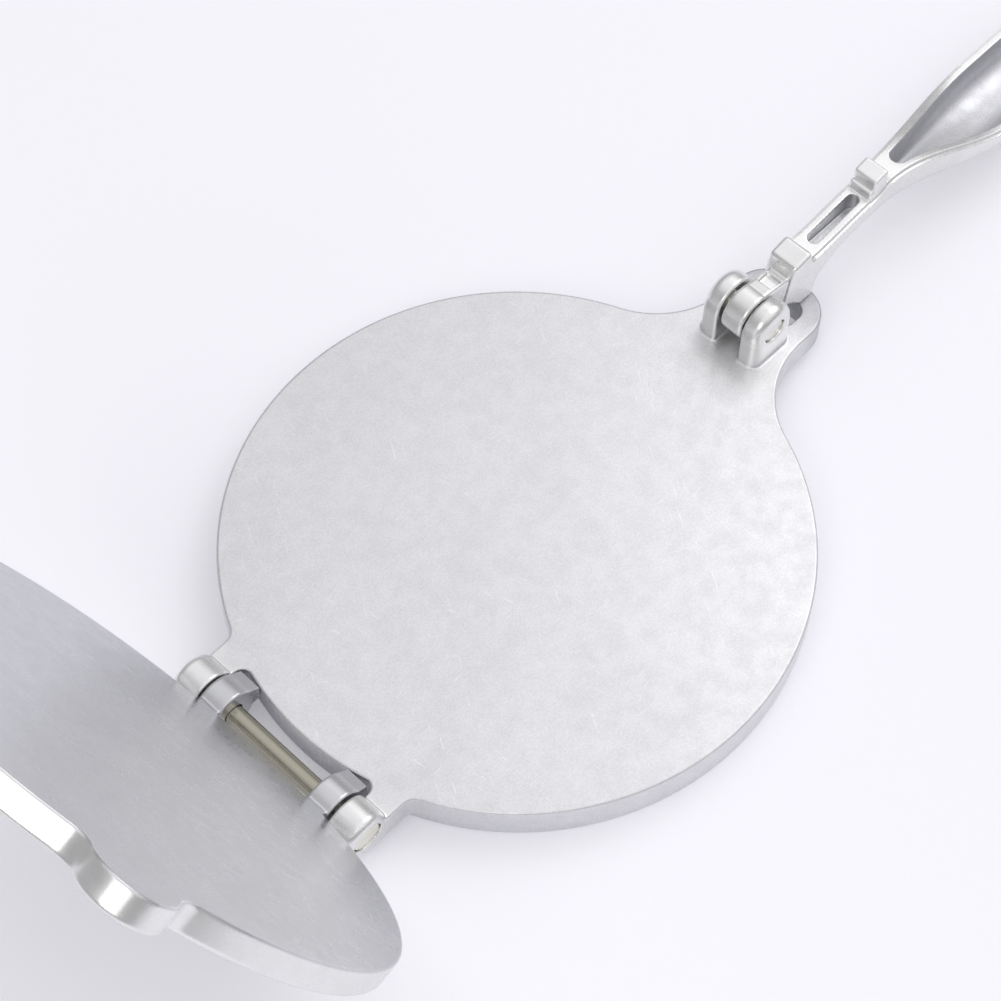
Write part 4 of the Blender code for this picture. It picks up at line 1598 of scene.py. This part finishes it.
@dataclass
class Pins:
    """The hinge rod and the lever's pin."""

    layout: Layout
    head_radius: float = 0.0055
    head_length: float = 0.0026
    rod_sink: float = 0.0006
    pin_sink: float = 0.0009
    chamfer: float = 0.0005

    def rod(self, material: bpy.types.Material) -> None:
        """Make the hinge rod with a sunk head at each end.

        Args:
            material: The rod's material.
        """
        end = self.layout.outer_knuckle[1] - self.rod_sink
        hinge = self.layout.hinge
        rod = Bench.barrel("hinge_rod_turned", self.layout.rod_radius, (-end, end), hinge, 96)
        heads = []
        for side in Side:
            ends = (side.value * (end - self.head_length), side.value * end)
            head = Bench.barrel("rod_head", self.head_radius, ends, hinge, 96)
            Bench.soften(head, self.chamfer, lambda place: True, 4)
            heads.append(head)
        for head in heads:
            Bench.finish_with(rod, "BOOLEAN", operation=Way.JOIN.value, solver="EXACT", object=head)
            bpy.data.objects.remove(head, do_unlink=True)
        rod.data.shade_smooth()
        rod.data.set_sharp_from_angle(angle=SHARP)
        Bench.dress(rod, material, "base", "hinge_rod", "rod_steel")

    def pin(self, material: bpy.types.Material) -> None:
        """Make the lever's pin with its rounded ends.

        Args:
            material: The pin's material.
        """
        end = self.layout.ear[1] - self.pin_sink
        pin = Bench.barrel("lever_pin_turned", self.layout.pin_radius, (-end, end),
                           self.layout.pivot, 96)
        Bench.soften(pin, self.chamfer, lambda place: True, 4)
        pin.data.shade_smooth()
        pin.data.set_sharp_from_angle(angle=SHARP)
        Bench.dress(pin, material, "base", "lever_pin", "pin_steel")


@dataclass(frozen=True)
class Lamp:
    """A soft square lamp that shines at the middle of the press."""

    name: str
    place: tuple[float, float, float]
    size: float
    power: float
    colour: tuple[float, float, float]

    def hang(self) -> None:
        """Hang the lamp in its place."""
        data = bpy.data.lights.new(self.name, "AREA")
        data.size = self.size
        data.energy = self.power
        data.color = self.colour
        lamp = bpy.data.objects.new(self.name, data)
        bpy.context.scene.collection.objects.link(lamp)
        lamp.location = self.place
        lamp.rotation_euler = (-Vector(self.place)).to_track_quat("-Z", "Y").to_euler()


@dataclass
class Studio:
    """The pale table, the soft light and the camera."""

    # The camera, from where the photograph was taken
    lens: float = 90.16
    sensor: float = 36.0
    place: tuple[float, float, float] = (-0.3021, -0.2821, 0.7398)
    right: tuple[float, float, float] = (0.6956, -0.7185, 0.0026)
    up: tuple[float, float, float] = (0.6178, 0.6000, 0.5083)

    # The sky: the way to its bright part, and how far round it darkens
    bright_way: tuple[float, float, float] = (0.25, -0.12, 0.96)
    dark_from: float = 0.40
    bright_from: float = 0.95
    dark: float = 0.42
    bright: float = 0.94
    sky: Colour = (0.975, 0.97, 1.0, 1.0)

    # The table and the lamps
    table_side: float = 6.0
    lamps: tuple[Lamp, ...] = (
        Lamp("key", (0.95, -0.05, 1.1), 0.8, 2.4, (1.0, 0.99, 1.0)),
        Lamp("fill", (-0.75, -0.30, 0.75), 0.50, 1.6, (1.0, 0.99, 0.97)))

    def camera(self) -> None:
        """Set the camera where the photograph was taken from."""
        data = bpy.data.cameras.new("camera")
        data.lens = self.lens
        data.sensor_width = self.sensor
        data.clip_start = 0.01
        data.clip_end = 20.0
        camera = bpy.data.objects.new("camera", data)
        bpy.context.scene.collection.objects.link(camera)
        right = Vector(self.right).normalized()
        back = right.cross(Vector(self.up)).normalized()
        up = back.cross(right)
        turn = Matrix((right, up, back)).transposed().to_4x4()
        camera.matrix_world = Matrix.Translation(self.place) @ turn
        bpy.context.scene.camera = camera

    def world(self) -> None:
        """Light everything softly, more from above than from the sides, on a white ground."""
        world = bpy.data.worlds.new("studio")
        bpy.context.scene.world = world
        world.use_nodes = True
        tree = world.node_tree
        back = tree.nodes["Background"]
        way = tree.nodes.new("ShaderNodeTexCoord")
        towards = tree.nodes.new("ShaderNodeVectorMath")
        towards.operation = "DOT_PRODUCT"
        tree.links.new(way.outputs["Generated"], towards.inputs[0])
        towards.inputs[1].default_value = Vector(self.bright_way).normalized()
        rise = tree.nodes.new("ShaderNodeMapRange")
        rise.interpolation_type = "SMOOTHSTEP"
        tree.links.new(towards.outputs["Value"], rise.inputs["Value"])
        rise.inputs["From Min"].default_value = self.dark_from
        rise.inputs["From Max"].default_value = self.bright_from
        rise.inputs["To Min"].default_value = self.dark
        rise.inputs["To Max"].default_value = self.bright
        seen = tree.nodes.new("ShaderNodeLightPath")
        plain = tree.nodes.new("ShaderNodeMix")
        tree.links.new(seen.outputs["Is Camera Ray"], plain.inputs["Factor"])
        tree.links.new(rise.outputs["Result"], plain.inputs["A"])
        plain.inputs["B"].default_value = 1.0
        tree.links.new(plain.outputs["Result"], back.inputs["Strength"])
        back.inputs["Color"].default_value = self.sky

    def table(self, material: bpy.types.Material) -> None:
        """Lay the pale table under the press.

        Args:
            material: The table's material.
        """
        bpy.ops.object.select_all(action="DESELECT")
        bpy.ops.mesh.primitive_plane_add(size=self.table_side, location=(0, 0, 0))
        table = Bench.settle(bpy.context.object, "table")
        table.data.materials.append(material)

    def build(self, paint: bpy.types.Material) -> None:
        """Set up the table, the lamps, the world and the camera.

        Args:
            paint: The table's material.
        """
        self.table(paint)
        self.world()
        for lamp in self.lamps:
            lamp.hang()
        self.camera()
        bpy.context.scene.view_settings.view_transform = "Standard"


def main() -> None:
    """Build the press piece by piece, and then the studio round it."""
    ground = Skin((0.88, 0.88, 0.89, 1.0), (0.855, 0.855, 0.865, 1.0), 0.42, 0.10, 0.6)
    # The top plate's press face: smooth, and darker than the base's face as painted shade
    smooth_face_painted_shade = Skin((0.70, 0.705, 0.72, 1.0), (0.67, 0.675, 0.69, 1.0), 0.30, 0.02, 0.1)
    polished = Skin((0.93, 0.93, 0.92, 1.0), (0.87, 0.87, 0.855, 1.0), 0.29, 0.03, 0.2)
    # Unpolished recesses, darker still as painted shade
    raw_and_shaded = Skin((0.60, 0.605, 0.63, 1.0), (0.50, 0.505, 0.54, 1.0), 0.45, 0.12, 1.0)
    # The lever's slot and dish, darker as painted shade
    pale = Skin((0.78, 0.785, 0.80, 1.0), (0.70, 0.705, 0.73, 1.0), 0.42, 0.12, 1.0)
    face = CastAluminium("cast_face", ground, polished, raw_and_shaded, 0.50, 0.08)
    top = CastAluminium("cast_top", smooth_face_painted_shade, polished, raw_and_shaded, 0.05, 0.06)
    bare = CastAluminium("cast_polished", polished, polished, pale, 0.08, 0.12)
    # The rod's shaft between the knuckles and the pin's middle are darker as painted shade
    rod = ZincSteel("rod_steel", (0.96, 0.95, 0.84, 1.0), (0.90, 0.88, 0.76, 1.0),
                    (0.45, 0.43, 0.35, 1.0), 0.036)
    pin = ZincSteel("pin_steel", (0.90, 0.89, 0.84, 1.0), (0.82, 0.81, 0.75, 1.0),
                    (0.80, 0.79, 0.72, 1.0), 0.005)
    layout = Layout()
    BasePlate(layout).build(face.material())
    TopPlate(layout).build(top.material())
    Lever(layout).build(bare.material())
    pins = Pins(layout)
    pins.rod(rod.material())
    pins.pin(pin.material())
    Studio().build(TablePaint("table_paint", (0.90, 0.896, 0.938, 1.0), 0.21).material())


if __name__ == "__main__":
    main()
